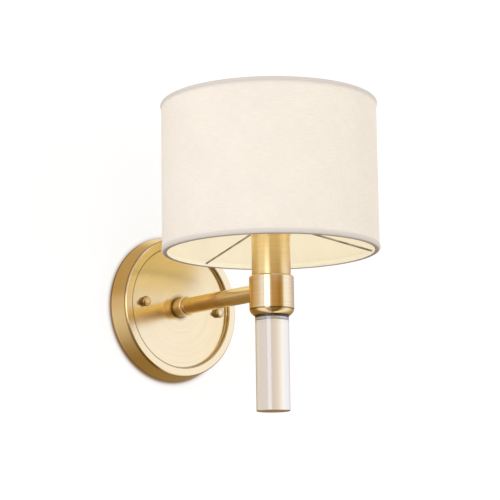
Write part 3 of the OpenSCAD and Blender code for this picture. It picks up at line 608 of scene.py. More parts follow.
def cloth(tree, colours, dye, lining, weave, thin, slub):
    """Plain linen weave on the piece's own map, in metres: warp and weft threads of one pitch pass over each
    other in turn, and thicker threads run through them for some way. Folded edges are painted greyer and a
    fold's crest darker still, as painted shade, and the turned-in part takes the lining's tone and a painted
    glow. Light passes through in a share."""
    colour, inside = getattr(colours, dye), getattr(colours, lining)
    u, v, _ = tree.parts(tree.node("ShaderNodeUVMap", uv_map="cloth"))
    across, along = u * (math.pi / weave), v * (math.pi / weave)
    over = (across.sin() * along.sin()).clamped(-0.35, 0.35)
    threads = over * abs(across.sin()) + (1.0 - over) * abs(along.sin())
    slub_u = tree.noise(tree.vector(u * 110.0, v * 1500.0, 0.0), 1.0, 3.0, 0.6)
    slub_v = tree.noise(tree.vector(u * 1500.0, v * 110.0, 7.0), 1.0, 3.0, 0.6)
    cloud = tree.noise(tree.vector(u * 30.0, v * 30.0, 3.0), 1.0, 2.0)
    tone = (slub_u * 0.55 + slub_v * 0.3 + cloud * 0.15).clamped(0.36, 0.64)
    light = tree.mixed(tone, rgba(colour, 1 - slub), rgba(colour, 1 + slub * 0.6))
    cloth_tone = tree.mixed(threads * 0.6 + 0.4, rgba(colour, 0.9), light)
    fold = tree.wear()
    turned_in = fold * -1.0
    # The fold's grey and its darker crest are painted shade
    cloth_tone = tree.mixed(fold.clamped(0.0, 0.75), cloth_tone, rgba(colour, (0.76, 0.75, 0.77)))
    cloth_tone = tree.mixed(fold.clamped(0.78, 1.0), cloth_tone, rgba(colour, (0.4, 0.33, 0.27)))
    # The turned-in part has a painted glow, like the lining's
    opaque = tree.principled(
        Base_Color=tree.mixed(turned_in, cloth_tone, rgba(inside)), Roughness=0.85, Specular_IOR_Level=0.2,
        Emission_Color=tree.mixed(turned_in, (0, 0, 0, 1), (0.57, 0.52, 0.36, 1)), Emission_Strength=0.3,
        Normal=tree.bumped(threads * 0.5 + slub_u + slub_v * 0.7, 0.00012, 0.5))
    tree.let_light_through(thin, opaque, colour)


def liner_film(tree, colours):
    """Cream lining film with a paper-like mottle and a satin face, with a painted glow that stands for the
    lamp's light, warmer on its outer face, whose mark is 1, where it rests against the linen and where the
    brass mirrors it."""
    place = tree.place()
    mottle = tree.noise(place, 700.0, 3.0)
    tone = (mottle * 0.4 + tree.noise(place, 22.0, 2.0) * 0.6).clamped(0.3, 0.7)
    # Painted glow: dimmer on the inner face, warmer on the outer face
    glow = tree.mixed(tree.wear(), (0.57, 0.545, 0.48, 1), (1.1, 0.82, 0.4, 1))
    opaque = tree.principled(
        Base_Color=tree.mixed(tone, rgba(colours.lining, 0.965), rgba(colours.lining, 1.02)), Roughness=0.55,
        Specular_IOR_Level=0.35, Emission_Color=glow, Emission_Strength=0.5,
        Normal=tree.bumped(mottle, 0.00002, 0.3))
    tree.let_light_through(0.5, opaque, colours.lining)


# Each finish: its function, and the row of settings after the tree and the colours
FINISHES = {
    # The brass tints differ by part as painted light: the canopy, arm, collar and sleeve are painted paler
    # and the nuts darker than the same brass, for how light and mirrored light fall on them
    "canopy_brass": (brass, ((1.03, 1.02, 1.0), "Y", 0.22, 0.1, 0.045)),
    "arm_brass": (brass, ((1.14, 1.15, 1.3), "Y", 0.19, 0.1)),
    "post_brass": (brass, ((1.0, 1.0, 1.0), "Z", 0.1, 0.05)),
    "sleeve_brass": (brass, ((1.12, 1.09, 1.1), "Z", 0.36, 0.08, 0.06, 0.95)),
    "nut_brass": (brass, ((0.97, 0.93, 0.88), "Y", 0.27, 0.1)),
    "collar_brass": (brass, ((1.1, 1.08, 1.2), "Y", 0.3, 0.06)),
    "raw_brass": (brass, ((0.92, 0.92, 0.92), "Y", 0.28, 0.12)),
    "black_insulation": (insulation, ((0.008, 0.008, 0.009), (0.022, 0.022, 0.024), 0.3)),
    "white_insulation": (insulation, ((0.78, 0.77, 0.73), (0.86, 0.85, 0.82), 0.32)),
    "orange_cap": (insulation, ((0.62, 0.2, 0.03), (0.74, 0.27, 0.05), 0.38)),
    "shade_linen": (cloth, ("linen", "linen", 0.00042, 0.35, 0.095)),
    "hem_tape": (cloth, ("hem", "lining", 0.00036, 0.1, 0.06)),
}
FINISHES.update({paint.__name__: (paint, ()) for paint in (
    green_zinc, lamp_glass, bronze_wire, solder, copper, zinc, knurled_steel, crystal, phenolic, nickel,
    liner_film)})

# What stands behind the glass rod and would only darken it, since the rod turns it round as a lens does
BEHIND_GLASS = (
    "canopy_spun", "collar_turned", "arm_coped", "cap_nut_left_turned", "cap_nut_right_turned",
    "studs_threaded", "lead_black_drawn", "lead_white_drawn", "ground_wire_drawn", "connectors_ribbed",
    "wall_bracket", "stud_lock_nuts", "ground_screw", "canopy_nipple", "canopy_washer", "canopy_lock_nut",
    "arm_root_plug")

# The finish of each node whose own shape stays
KEPT_NODES = {
    "wall_bracket": "zinc", "stud_lock_nuts": "zinc", "ground_screw": "green_zinc", "canopy_nipple": "zinc",
    "canopy_washer": "zinc", "canopy_lock_nut": "zinc", "arm_root_plug": "raw_brass",
    "arm_end_plug": "raw_brass", "cup_nipple": "zinc", "cup_lock_nut": "zinc", "rod_nut": "zinc",
    "rod_stud": "zinc", "socket_strap": "zinc", "strap_screw": "zinc", "socket_body": "phenolic",
    "centre_contact": "raw_brass", "shade_ring_nut": "post_brass", "bulb_contact": "solder",
}


def length(name, text, default):
    """A length in metres for a property group, from its default in millimetres."""
    return FloatProperty(name=name, description=text, default=default * MM, min=0.0, unit="LENGTH",
                         subtype="DISTANCE", precision=5)


def colour(name, text, default):
    return FloatVectorProperty(name=name, description=text, default=default, min=0.0, max=1.0, size=3,
                               subtype="COLOR")


class SconceSizes(bpy.types.PropertyGroup):
    ring_width: length("Ring width", "Width of the canopy's raised front ring", 8.4)
    canopy_bevel: length("Canopy bevel", "Width of the bevel between the ring and the side wall", 1.1)
    canopy_flare: length("Canopy flare", "How far the side wall spreads out on the way to the wall", 2.9)
    sheet: length("Sheet", "Thickness of the canopy's spun sheet", 1.2)
    collar_length: length("Collar length", "Length of the collar's barrel at the arm's root", 12.3)
    arm_wall: length("Arm wall", "Wall of the arm's tube", 1.3)
    sleeve_radius: length("Sleeve radius", "Radius of the sleeve below its flare", 16.9)
    sleeve_wall: length("Sleeve wall", "Wall of the sleeve", 1.0)
    flare_height: length("Flare height", "Height of the sleeve's flared rim", 7.0)
    shoulder: length("Shoulder", "Height of the rounding at the cup's top", 1.6)
    bowl_height: length("Bowl height", "Height of the bowl under the cup's seam", 4.7)
    lip_width: length("Lip width", "Width of the bowl's lip", 0.6)
    rod_chamfer: length("Rod chamfer", "Polished chamfer on the glass rod's edges", 0.35)
    cloth_thickness: length("Cloth thickness", "Thickness of the shade's linen", 0.4)
    seam_lap: length("Seam lap", "How far the linen's end laps over its start", 10.0)
    spoke_diameter: length("Spoke diameter", "Diameter of the fitter's spokes", 2.2)
    rim_wire: length("Rim wire", "Diameter of the wire rings in the hems", 2.4)
    base_pitch: length("Base pitch", "Rise of the bulb's thread in one turn", 3.6286)
    stud_pitch: length("Stud pitch", "Rise of the studs' thread in one turn", 0.8)
    nut_flutes: IntProperty(name="Nut flutes", description="Flutes round a cap nut", default=16, min=6)
    ferrule_grooves: IntProperty(name="Ferrule grooves", description="Grooves round the rod's ferrule",
                                 default=40, min=12)
    spokes: IntProperty(name="Spokes", description="Number of the fitter's spokes", default=3, min=2)


class SconceColours(bpy.types.PropertyGroup):
    brass: colour("Brass", "Colour of the lacquered brass", (0.86, 0.67, 0.305))
    steel: colour("Steel", "Colour of the plated steel", (0.66, 0.61, 0.52))
    linen: colour("Linen", "Colour of the shade's linen", (0.887, 0.845, 0.785))
    hem: colour("Hem", "Colour of the hem tape", (0.785, 0.735, 0.66))
    lining: colour("Lining", "Colour of the shade's lining", (0.94, 0.91, 0.80))
    wire: colour("Wire", "Colour of the fitter's coated wire", (0.37, 0.32, 0.26))
    glass: colour("Glass", "Tint of the glass rod", (0.97, 0.96, 0.94))


def sizes():
    """The sizes in use, in millimetres and counts."""
    group = bpy.context.scene.sconce_sizes
    values = {}
    for name in SconceSizes.__annotations__:
        value = getattr(group, name)
        values[name] = value if isinstance(value, int) else value / MM
    return type("Sizes", (), values)


class Step:
    """What the steps that build pieces share: build() gets the sizes in use."""

    def execute(self, context):
        self.build(sizes())
        return {"FINISHED"}


class SCONCE_OT_canopy(Step, bpy.types.Operator):
    """Spins the canopy: recess, raised ring, bevel and flared side wall, with the studs' holes"""
    bl_idname = "sconce.canopy"
    bl_label = "Canopy"

    def build(self, s):
        face_r = CANOPY_R - s.canopy_flare
        recess_r = face_r - s.ring_width
        bevel_depth = CANOPY_DEPTH - s.canopy_bevel
        back = CANOPY_DEPTH - s.sheet
        floor_back = FLOOR_DEPTH - s.sheet
        third = s.sheet / 3
        hole_r = NIPPLE_R + PLAY
        # Painted shade lies round the collar, in the recess's corner, on the ring's inner edge, under the
        # bevel and along the wall, as dark marks in the outline. Each group of numbers says where it is full
        # and where it has faded out.
        collar_full, collar_fading, collar_gone = (ARM_R + 1.1 + width for width in (0.6, 2.2, 4.5))
        corner_r, corner_top = 1.8, FLOOR_DEPTH + 2.2
        edge_full, edge_gone = recess_r + 0.9, recess_r + 1.3
        bevel_in, bevel_full, bevel_gone = 0.35, 0.8, 1.5
        foot_full, foot_gone = 0.9, 1.8
        corners = [
            (hole_r, FLOOR_DEPTH, 0, -1), (collar_full, FLOOR_DEPTH, 0, -1.1),
            (collar_fading, FLOOR_DEPTH, 0, -0.4), (collar_gone, FLOOR_DEPTH, 0),
            (recess_r, FLOOR_DEPTH, corner_r, -0.6), (recess_r, corner_top, 0, -1.5),
            (recess_r, CANOPY_DEPTH, 0.5, -1.6), (edge_full, CANOPY_DEPTH, 0, -1.5),
            (edge_gone, CANOPY_DEPTH, 0), (face_r - s.canopy_bevel, CANOPY_DEPTH, 0.2),
            (face_r - bevel_in, bevel_depth + bevel_in, 0, -0.7), (face_r, bevel_depth, 0.25, -1.4),
            (face_r + 0.12, bevel_depth - bevel_full, 0, -0.7),
            (face_r + 0.24, bevel_depth - bevel_gone, 0),
            (CANOPY_R - 0.34, foot_gone, 0), (CANOPY_R - 0.16, foot_full, 0, -0.9),
            (CANOPY_R, 0, 0.15, -1.4), (CANOPY_R - s.sheet, 0, 0.15),
            (face_r - s.sheet, bevel_depth - third, 0.4),
            (face_r - s.canopy_bevel - third, back, 0.4), (recess_r + s.sheet, back, 0.4),
            (recess_r + s.sheet, floor_back, 0.6), (hole_r, floor_back, 0),
        ]
        surface = placed(lathe(rounded(corners), 384), out_from_wall)
        piece = make("canopy_spun", surface, "canopy_brass", ["backplate"])
        stud_hole = pin(2.35, floor_back - 1, FLOOR_DEPTH + 1)
        drill(piece, *[placed(stud_hole, at_stud(side)) for side in (-1, 1)])


class SCONCE_OT_cap_nuts(Step, bpy.types.Operator):
    """Turns the two cap nuts, fluted and domed over a blind bore, and threads their studs"""
    bl_idname = "sconce.cap_nuts"
    bl_label = "Cap nuts and studs"

    def build(self, s):
        low, high = depths_of("cap_nut_left")
        left, right = (corner[0] for corner in extent("cap_nut_left"))
        nut_r = (right - left) / 2 - 0.4
        # The head: a small step under a dome, which is the fuller the lower its power of the cosine is
        step, dome_h, power = 0.3, 2.3, 0.45
        barrel = high - step - dome_h
        stud_r, bore_end = 2.05, STUD_END + 0.5
        # The barrel is painted dark as shade, most at its foot on the canopy
        corners = [
            (0, bore_end, 0), (stud_r + PLAY, bore_end, 0.1), (stud_r + PLAY, low, 0.15),
            (nut_r - step, low, 0.45, -1.2), (nut_r - step, barrel, 0.2, -1),
            (nut_r, barrel + step, 0, -0.6),
        ]
        turn = np.radians(np.linspace(0, 90, 18))
        # The dome's rim is painted dark as shade, fading out towards its top
        painted_shade = np.clip(np.linspace(-1.5, 0.1, len(turn)), -1, 0)
        rise = high - dome_h + dome_h * np.sin(turn)
        dome = np.column_stack([nut_r * np.cos(turn) ** power, rise, painted_shade])
        dome[-1, 0] = 0
        outline = np.vstack([rounded(corners, closed=False)[:-1], dome])
        flutes = grooves(s.nut_flutes, 0.45, low + 0.3, barrel - 0.1, nut_r - 0.8, 1.6)

        def ripple(a, r, h):
            return flutes(a, r, h) * np.clip((barrel - 0.2 - h) / 0.4, 0, 1)
        nut = lathe(outline, 32 * s.nut_flutes // 4, loop=False, ripple=ripple)
        for side, body in ((-1, "left_nut"), (1, "right_nut")):
            node = "cap_" + "_".join(reversed(body.split("_")))
            here = placed(nut, at_stud(side))
            piece = make(node + "_turned", here, "nut_brass", [node], body)
            piece.visible_glossy = False
        chamfer = 0.35
        heights = np.linspace(chamfer, STUD_END - chamfer, int(STUD_END / s.stud_pitch * 8))
        line = unmarked([[0, 0], [stud_r - chamfer, 0], *[[stud_r, h] for h in heights],
                       [stud_r - chamfer, STUD_END], [0, STUD_END]])
        stud = lathe(line, 40, loop=False, ripple=thread(s.stud_pitch, 0.28, 0.3, STUD_END - 0.2, 0.8, 1.8))
        studs = joined(*[placed(stud, at_stud(side)) for side in (-1, 1)])
        make("studs_threaded", studs, "zinc", ["mounting_studs"], sharp=60)


class SCONCE_OT_arm(Step, bpy.types.Operator):
    """Makes the arm's tube, coped to the cup, and the collar with its bead at the arm's root"""
    bl_idname = "sconce.arm"
    bl_label = "Arm and collar"

    def build(self, s):
        sides = 128
        a = TURN * np.arange(sides) / sides
        rows = []
        for radius, depths in ((ARM_R, (0, 0.3, 0.6, 0.97, 1)), (ARM_R - s.arm_wall, (1, 0.97, 0.03, 0))):
            x, z = radius * np.cos(a), radius * np.sin(a)
            far = ARM_REACH - np.sqrt((CUP_R + PLAY) ** 2 - x ** 2)
            rows += [np.column_stack([x, -(FLOOR_DEPTH + t * (far - FLOOR_DEPTH)), z]) for t in depths]
        grid = np.stack(rows)
        wear = np.zeros(grid.shape[:2])
        # The outer skin is painted paler from the middle of the arm to the cup, as painted light
        wear[2:5] = [[0.3], [0.5], [0.5]]
        make("arm_coped", skin(grid, wear, True, True), "arm_brass", ["arm_tube"])
        inner = ARM_R + PLAY
        outer = ARM_R + 1.0
        bead = outer + 0.75
        neck = ARM_R + 0.2
        bead_end = FLOOR_DEPTH + s.collar_length
        # The collar's foot on the canopy and the grooves on both sides of the bead are painted dark as
        # shade, and the bead is painted pale as a highlight
        corners = [
            (inner, FLOOR_DEPTH, 0.1), (outer - 0.15, FLOOR_DEPTH, 0.1, -1),
            (outer, FLOOR_DEPTH + 0.4, 0.2, -1), (outer, FLOOR_DEPTH + 0.9, 0), (outer, bead_end - 2.0, 0),
            (outer, bead_end - 1.5, 0.12, -1), (bead, bead_end - 1.1, 0.6, 1.8),
            (bead, bead_end, 0.6, 1.8), (neck, bead_end + 0.4, 0.12, -1),
            (neck, COLLAR_END, 0.3), (inner, COLLAR_END, 0.1),
        ]
        collar = placed(lathe(rounded(corners), 160), out_from_wall)
        make("collar_turned", collar, "collar_brass", ["arm_collar"])


class SCONCE_OT_cup(Step, bpy.types.Operator):
    """Turns the cup with its rounded shoulder and the arm's hole, and the bowl that closes it below"""
    bl_idname = "sconce.cup"
    bl_label = "Cup and bowl"

    def build(self, s):
        bore_r = s.sleeve_radius - 1
        sleeve_hole = s.sleeve_radius + PLAY
        shoulder_w = CUP_R - sleeve_hole - 0.3
        shoulder = arc(CUP_R - shoulder_w, CUP_TOP - s.shoulder, shoulder_w, s.shoulder, 0, 90, 12)
        low_part = rounded([(bore_r, SLEEVE_LOW, 0), (bore_r, CUP_LOW, 0.15), (CUP_R, CUP_LOW, 0.35, -1.3),
                            (CUP_R, CUP_LOW + 0.8, 0), (CUP_R, CUP_TOP - s.shoulder, 0)], closed=False)
        # The upper half of the shoulder is painted darker, as painted shade
        painted_shade = -np.clip(np.linspace(-0.3, 2, len(shoulder)), 0, 0.8)
        top = rounded([(*shoulder[-1], 0), (sleeve_hole, CUP_TOP, 0.15), (sleeve_hole, SLEEVE_LOW, 0.1),
                       (bore_r, SLEEVE_LOW, 0)], closed=False)[1:-1]
        outline = np.vstack([low_part[:-1], np.column_stack([shoulder, painted_shade]), top])
        surface = placed(lathe(outline, 256), on_post)
        piece = make("cup_turned", surface, "post_brass", ["cup"])
        drill(piece, placed(pin(NIPPLE_R + PLAY, ARM_REACH - CUP_R - 2, ARM_REACH), out_from_wall))
        seam_low = LIP_Z + s.bowl_height
        mouth_r = ROD_R + 0.35
        stem_r = 3.05
        web_low = FERRULE_TOP + PLAY
        skirt_t, wall = 2.4, 1.2
        web_high = SKIRT_TOP - skirt_t
        skirt_r = bore_r - PLAY
        swell = 0.55
        lip = np.array([mouth_r + s.lip_width, LIP_Z])
        rim = np.array([CUP_R - 0.1, seam_low])
        t = np.linspace(0, 1, 13)[:, None]
        way = (rim - lip) / np.linalg.norm(rim - lip)
        side = lip + (rim - lip) * t + np.array([way[1], -way[0]]) * 4 * swell * t * (1 - t)
        inside = rounded([(*rim, 0), (CUP_R - wall, seam_low, 0.1), (CUP_R - wall, CUP_LOW - 0.02, 0),
                          (skirt_r, CUP_LOW - 0.02, 0.1), (skirt_r, SKIRT_TOP, 0.2),
                          (skirt_r - skirt_t, SKIRT_TOP, 0.2), (skirt_r - skirt_t, web_high, 0.2),
                          (stem_r, web_high, 0), (stem_r, web_low, 0), (mouth_r, web_low, 0.1),
                          (mouth_r, LIP_Z, 0.15), (*lip, 0)], closed=False)[1:-1]
        edge = np.zeros((len(side), 1))
        edge[0], edge[-1] = 0.8, -1.1
        bowl = placed(lathe(np.vstack([np.hstack([side, edge]), inside]), 256), on_post)
        make("bowl_turned", bowl, "post_brass", ["cup_base"])


class SCONCE_OT_sleeve(Step, bpy.types.Operator):
    """Spins the sleeve with its flared rim"""
    bl_idname = "sconce.sleeve"
    bl_label = "Sleeve"

    def build(self, s):
        spread = FLARE_R - s.sleeve_radius
        flare_low = SLEEVE_TOP - s.flare_height
        flare = arc(s.sleeve_radius + spread, flare_low, spread, s.flare_height, 180, 90, 14)
        inner = flare[::-1] - np.array([s.sleeve_wall, 0])
        foot = rounded([(inner[-1][0], flare_low, 0), (inner[-1][0], SLEEVE_LOW, 0.2),
                        (s.sleeve_radius, SLEEVE_LOW, 0.25), (s.sleeve_radius, flare_low, 0)],
                       closed=False)[1:-1]
        # The upper half of the flare, outside and in, is painted dark as the shade under the lampshade's hem
        wear = np.zeros((len(flare), 1))
        wear[-7:] = -0.9
        outline = np.vstack([foot, np.hstack([flare, wear]), np.hstack([inner, wear[::-1]])])
        surface = placed(lathe(outline, 256), on_post)
        make("sleeve_spun", surface, "sleeve_brass", ["socket_sleeve"])


class SCONCE_OT_rod(Step, bpy.types.Operator):
    """Polishes the glass rod and knurls the steel ferrule on its top"""
    bl_idname = "sconce.rod"
    bl_label = "Glass rod and ferrule"

    def build(self, s):
        c = s.rod_chamfer
        corners = [(0, ROD_LOW, 0), (ROD_R - c, ROD_LOW, 0.12), (ROD_R, ROD_LOW + c, 0.12),
                   (ROD_R, ROD_TOP - c, 0.12), (ROD_R - c, ROD_TOP, 0.12), (0, ROD_TOP, 0)]
        rod = placed(lathe(rounded(corners, closed=False), 192, loop=False), on_post)
        make("rod_polished", rod, "crystal", ["glass_rod"])
        bed = ROD_TOP - 0.03
        hole_r, hole_low = 3.05, FERRULE_TOP - 4.65
        corners = [(0, hole_low, 0), (hole_r, hole_low, 0.1), (hole_r, FERRULE_TOP, 0.2),
                   (ROD_R, FERRULE_TOP, 0.3), (ROD_R, bed, 0.25), (0, bed, 0)]
        outline = rounded(corners, closed=False)
        low, high, cut = ROD_TOP + 0.45, FERRULE_TOP - 0.1, 0.42
        knurl = grooves(s.ferrule_grooves, cut, low, high, ROD_R - 0.6, 1.5)
        heights = np.linspace(high - 0.02, low + 0.02, 5)
        below = (outline[:, 0] > ROD_R - 1e-6) & (outline[:, 1] < high)
        on_wall = int(np.argmax(below)) or len(outline) - 4
        wall = unmarked([[ROD_R, h] for h in heights])
        outline = np.vstack([outline[:on_wall], wall, outline[on_wall:]])
        points, faces, _ = lathe(outline, 12 * s.ferrule_grooves, loop=False, ripple=knurl)
        depth = ROD_R - np.hypot(points[:, 0], points[:, 1])
        # The knurl's grooves are marked by their depth for their painted shade, and the bed on the glass is
        # marked -1, where the steel is paler
        groove = np.clip(depth / cut, 0, 1) * (depth < 0.6)
        groove[points[:, 2] < bed + 0.01] = -1
        surface = placed((points, faces, groove), on_post)
        make("ferrule_knurled", surface, "knurled_steel", ["rod_ferrule"])


def cloth_drum(radius, low, high, lap, rise):
    """A drum of cloth whose end laps over its start at the wall side: the angle runs past one full turn by
    the lap, and the radius rises by the cloth's thickness before the lap begins."""
    around, up = 720, 40
    whole = TURN + lap / radius
    a = 0.5 * math.pi - 0.5 * lap / radius + whole * np.linspace(0, 1, around)
    climb = np.clip((a - a[0] - (TURN - 3 * lap / radius)) / (1.5 * lap / radius), 0, 1)
    climb = climb * climb * (3 - 2 * climb)
    h = np.linspace(low, high, up)[:, None]
    sway = 0.05 * np.sin(5 * a + 0.02 * h) * np.sin(math.pi * (h - low) / (high - low))
    r = radius + rise * climb + sway
    grid = np.stack([r * np.cos(a), r * np.sin(a), h + 0 * r], axis=-1)
    points, faces, wear = skin(grid, np.zeros(grid.shape[:2]), False, False)
    uv = np.stack([np.broadcast_to(a * radius, r.shape), h + 0 * r], axis=-1).reshape(-1, 2)
    return (points, faces, wear), uv


def hem_section(edge, way, s):
    """The middle line of a hem tape: from its free edge on the linen up the outside, round the edge and
    over the wire ring, and back in against the lining. way is 1 at the top edge and -1 at the bottom one.
    The mark is 0 at the free edge, grows to a painted grey shade and on to a dark crest of painted shade at
    the fold, which reaches a little way round inside, and is -1 inside, where the tape takes the lining's
    tone."""
    half = 0.25
    outer = SHADE_R - half
    ring_r = RIM_R - s.rim_wire / 2
    ring_in = 0.8 + s.rim_wire / 2
    grip = s.rim_wire / 2 + 0.1 + half
    free = outer - 0.3
    outside = np.vstack([
        [[free - 0.3, HEM_H], [free - 0.2, HEM_H - 0.8], [free, HEM_H - 1.7], [outer, HEM_H - 2.7]],
        arc(outer - 3.2, 2.9, 3.2, -2.9 + half, 0, 90, 14)])
    inside = np.vstack([
        arc(ring_r, ring_in, grip, -(ring_in - half), 90, 180, 10)[1:],
        arc(ring_r, ring_in, grip, grip, 180, 120, 5)[1:],
        [[ring_r + 0.3, ring_in + 2.2], [ring_r + 1.0, ring_in + 3.1]]])
    near = outside[:, 1]
    # tint and crest are the painted shade on the outside, and dark_rows how far the dark crest reaches
    # inside
    tint, crest, crest_h, dark_rows = (0.75, 0.1, 2.0, 0.9) if way > 0 else (0.58, 0.37, 1.4, 4.0)
    mark = np.concatenate([tint * np.clip((HEM_H - 0.2 - near) / 1.4, 0, 1)
                           + crest * np.clip((crest_h - near) / 0.8, 0, 1),
                           np.clip(dark_rows - np.arange(len(inside)), -1, 1)])
    line = np.vstack([outside, inside])
    return np.column_stack([line[:, 0], edge - way * line[:, 1], mark])


class SCONCE_OT_shade(Step, bpy.types.Operator):
    """Cuts and laps the shade's linen and lining, and folds the hem tapes over the wire rings"""
    bl_idname = "sconce.shade"
    bl_label = "Shade"

    def build(self, s):
        linen, uv = cloth_drum(CLOTH_R, CLOTH_LOW, CLOTH_TOP, s.seam_lap, s.cloth_thickness)
        linen = placed(linen, on_post)
        cloth_piece = make("linen_drum", linen, "shade_linen", ["shade_fabric"], uv=uv)
        cloth_piece.visible_glossy = False
        thick = cloth_piece.modifiers.new("thickness", "SOLIDIFY")
        thick.thickness = s.cloth_thickness * MM
        thick.offset = -1
        film_in = LINER_R - 0.5
        # The film's outer face is marked 1 for its warmer painted glow
        film = lathe(rounded([(LINER_R, CLOTH_LOW, 0.1, 1), (LINER_R, CLOTH_TOP, 0.1, 1),
                              (film_in, CLOTH_TOP, 0.1), (film_in, CLOTH_LOW, 0.1)]), 384)
        make("lining_film", placed(film, on_post), "liner_film", ["shade_liner"])
        sides = 1024
        lap = s.seam_lap / SHADE_R
        top_raise, bottom_drop = 0.6, 0.5
        for name, edge, way in (("top", SHADE_TOP + top_raise, 1), ("bottom", SHADE_LOW - bottom_drop, -1)):
            outline = ribbon(hem_section(edge, way, s), 0.5)

            def pucker(a, r, h):
                crimp = 0.03 * np.sin(61 * a + way) + 0.025 * np.sin(97 * a + 2.1 * way + h)
                over_seam = np.exp(-(((a - 0.5 * math.pi) / (0.9 * lap)) ** 4)) * s.cloth_thickness
                return crimp + over_seam * (r > SHADE_R - 0.8)
            surface = placed(lathe(outline, sides, ripple=pucker), on_post)
            gone = np.concatenate([[0], np.cumsum(np.linalg.norm(np.diff(outline[:, :2], axis=0), axis=1))])
            turned = np.tile(TURN * np.arange(sides) / sides * SHADE_R, len(outline))
            uv = np.column_stack([turned, np.repeat(gone, sides)])
            tape = make("hem_" + name + "_folded", surface, "hem_tape", ["shade_hem_" + name],
                        uv=uv)
            tape.visible_glossy = False


class SCONCE_OT_fitter(Step, bpy.types.Operator):
    """Bends the fitter: the flat ring on the lampholder, its spokes, and the wire rings in the hems"""
    bl_idname = "sconce.fitter"
    bl_label = "Fitter"

    def build(self, s):
        wire_r = s.rim_wire / 2
        ring_r = RIM_R - wire_r
        low_z = heights_of("shade_fitter")[0] + wire_r
        high_z = heights_of("shade_top_ring")[1] - wire_r
        ring_low = heights_of("socket_body")[1] - 9.2
        ring_in, ring_out, ring_t = 17.35, 21.95, 1.4
        ring_top = ring_low + ring_t
        flat_ring = lathe(rounded([(ring_in, ring_low, 0.2), (ring_out, ring_low, 0.3),
                                   (ring_out, ring_top, 0.3), (ring_in, ring_top, 0.2)]), 192)
        section = unmarked(arc(ring_r, 0, wire_r, wire_r, 0, 360, 24)[:-1])
        lift = np.array([0, 1, 0])
        low_ring = lathe(section + lift * low_z, 384)
        high_ring = lathe(section + lift * high_z, 384)
        spoke_r = 0.4 * s.spoke_diameter
        start = np.array([ring_out - 1.6, ring_low + ring_t / 2 + 0.4])
        elbow = np.array([ring_out + 1.6, ring_low + ring_t / 2 + 0.2])
        end = np.array([ring_r, low_z])
        parts = [flat_ring, low_ring]
        for k in range(s.spokes):
            angle = 0.5 * math.pi + TURN * k / s.spokes
            out = np.array([math.cos(angle), math.sin(angle), 0])
            t = np.linspace(0, 1, 40)[:, None]
            line = np.vstack([start[None], elbow + (end - elbow) * t])
            path = line[:, :1] * out + line[:, 1:] * np.array([0, 0, 1])
            gone = np.linalg.norm(line - line[0], axis=1)
            weld = 0.45 * np.exp(-(gone / 1.5) ** 2) + 0.35 * np.exp(-((gone[-1] - gone) / 1.4) ** 2)
            parts.append(swept(path, spoke_r + weld, 20))
        wires = placed(joined(*parts), on_post)
        make("fitter_bent", wires, "bronze_wire", ["shade_fitter"])
        make("top_ring_bent", placed(high_ring, on_post), "bronze_wire", ["shade_top_ring"])


class SCONCE_OT_lamp(Step, bpy.types.Operator):
    """Blows the bulb's glass and rolls the threads of its base and of the lampholder's shell"""
    bl_idname = "sconce.lamp"
    bl_label = "Bulb and screw shell"

    def build(self, s):
        centre = BULB_TOP - BULB_R

        def side(inset):
            """From the neck a smooth curve widens to the round part, which is an arc to the top."""
            join = -28.0
            start = [(BULB_R - inset) * math.cos(math.radians(join)),
                     centre + (BULB_R - inset) * math.sin(math.radians(join))]
            t = np.linspace(0, 1, 25)[:-1]
            ease = t * t * (3 - 2 * t) * 0.45 + t * t * 0.55
            neck = 14.0 - inset
            low = np.column_stack([neck + (start[0] - neck) * ease, BULB_LOW + (start[1] - BULB_LOW) * t])
            dome = arc(0, centre, BULB_R - inset, BULB_R - inset, join, 90, 40)
            dome[-1, 0] = 0
            return np.vstack([low, dome])
        outline = np.vstack([side(0.9)[::-1], side(0.0)])
        glass = placed(lathe(unmarked(outline), 160, loop=False), on_post)
        make("bulb_glass_blown", glass, "lamp_glass", ["bulb_glass"], "bulb", 60)
        shell_low = BASE_LOW + 3.6
        thread_depth, run_out = 0.95, 2.2
        low, high, slack = shell_low + 0.9, BASE_TOP - 1.0, 0.01
        rolled = thread(s.base_pitch, thread_depth, low, high, run_out, BASE_R - slack)
        corners = [[0, BASE_LOW], [3.6, BASE_LOW], [4.2, BASE_LOW + 0.2], [BASE_R - 1.7, shell_low - 0.7],
                   [BASE_R - 0.8, shell_low], [BASE_R - 0.2, shell_low + 0.5]]
        corners += [[BASE_R, h] for h in np.linspace(low, high, 90)]
        corners += [[BASE_R - 0.1, BASE_TOP - 0.5], [BASE_R - 0.4, BASE_TOP], [0, BASE_TOP]]
        base = lathe(unmarked(corners), 128, loop=False, ripple=rolled)
        make("bulb_base_rolled", placed(base, on_post), "nickel", ["bulb_base"], "bulb", 50)
        wall, gap = 0.65, 0.08
        bore_r = BASE_R + gap
        heights = np.linspace(SHELL_LOW + 0.8, SHELL_TOP - 0.1, 100)
        lip_r = bore_r - 1.6
        inner = [[bore_r, h] for h in heights[::-1]]
        outer = [[bore_r + wall, h] for h in heights]
        loop = [[lip_r, SHELL_LOW], [bore_r, SHELL_LOW], [bore_r + wall - 0.1, SHELL_LOW + 0.2],
                *outer, *inner, [bore_r - 0.3, SHELL_LOW + 0.6], [lip_r, SHELL_LOW + 0.5]]
        rolled = thread(s.base_pitch, thread_depth, SHELL_LOW + 1.2, SHELL_TOP, run_out, bore_r - slack)
        shell = lathe(unmarked(loop), 128, ripple=rolled)
        make("shell_rolled", placed(shell, on_post), "raw_brass", ["screw_shell"], sharp=50)


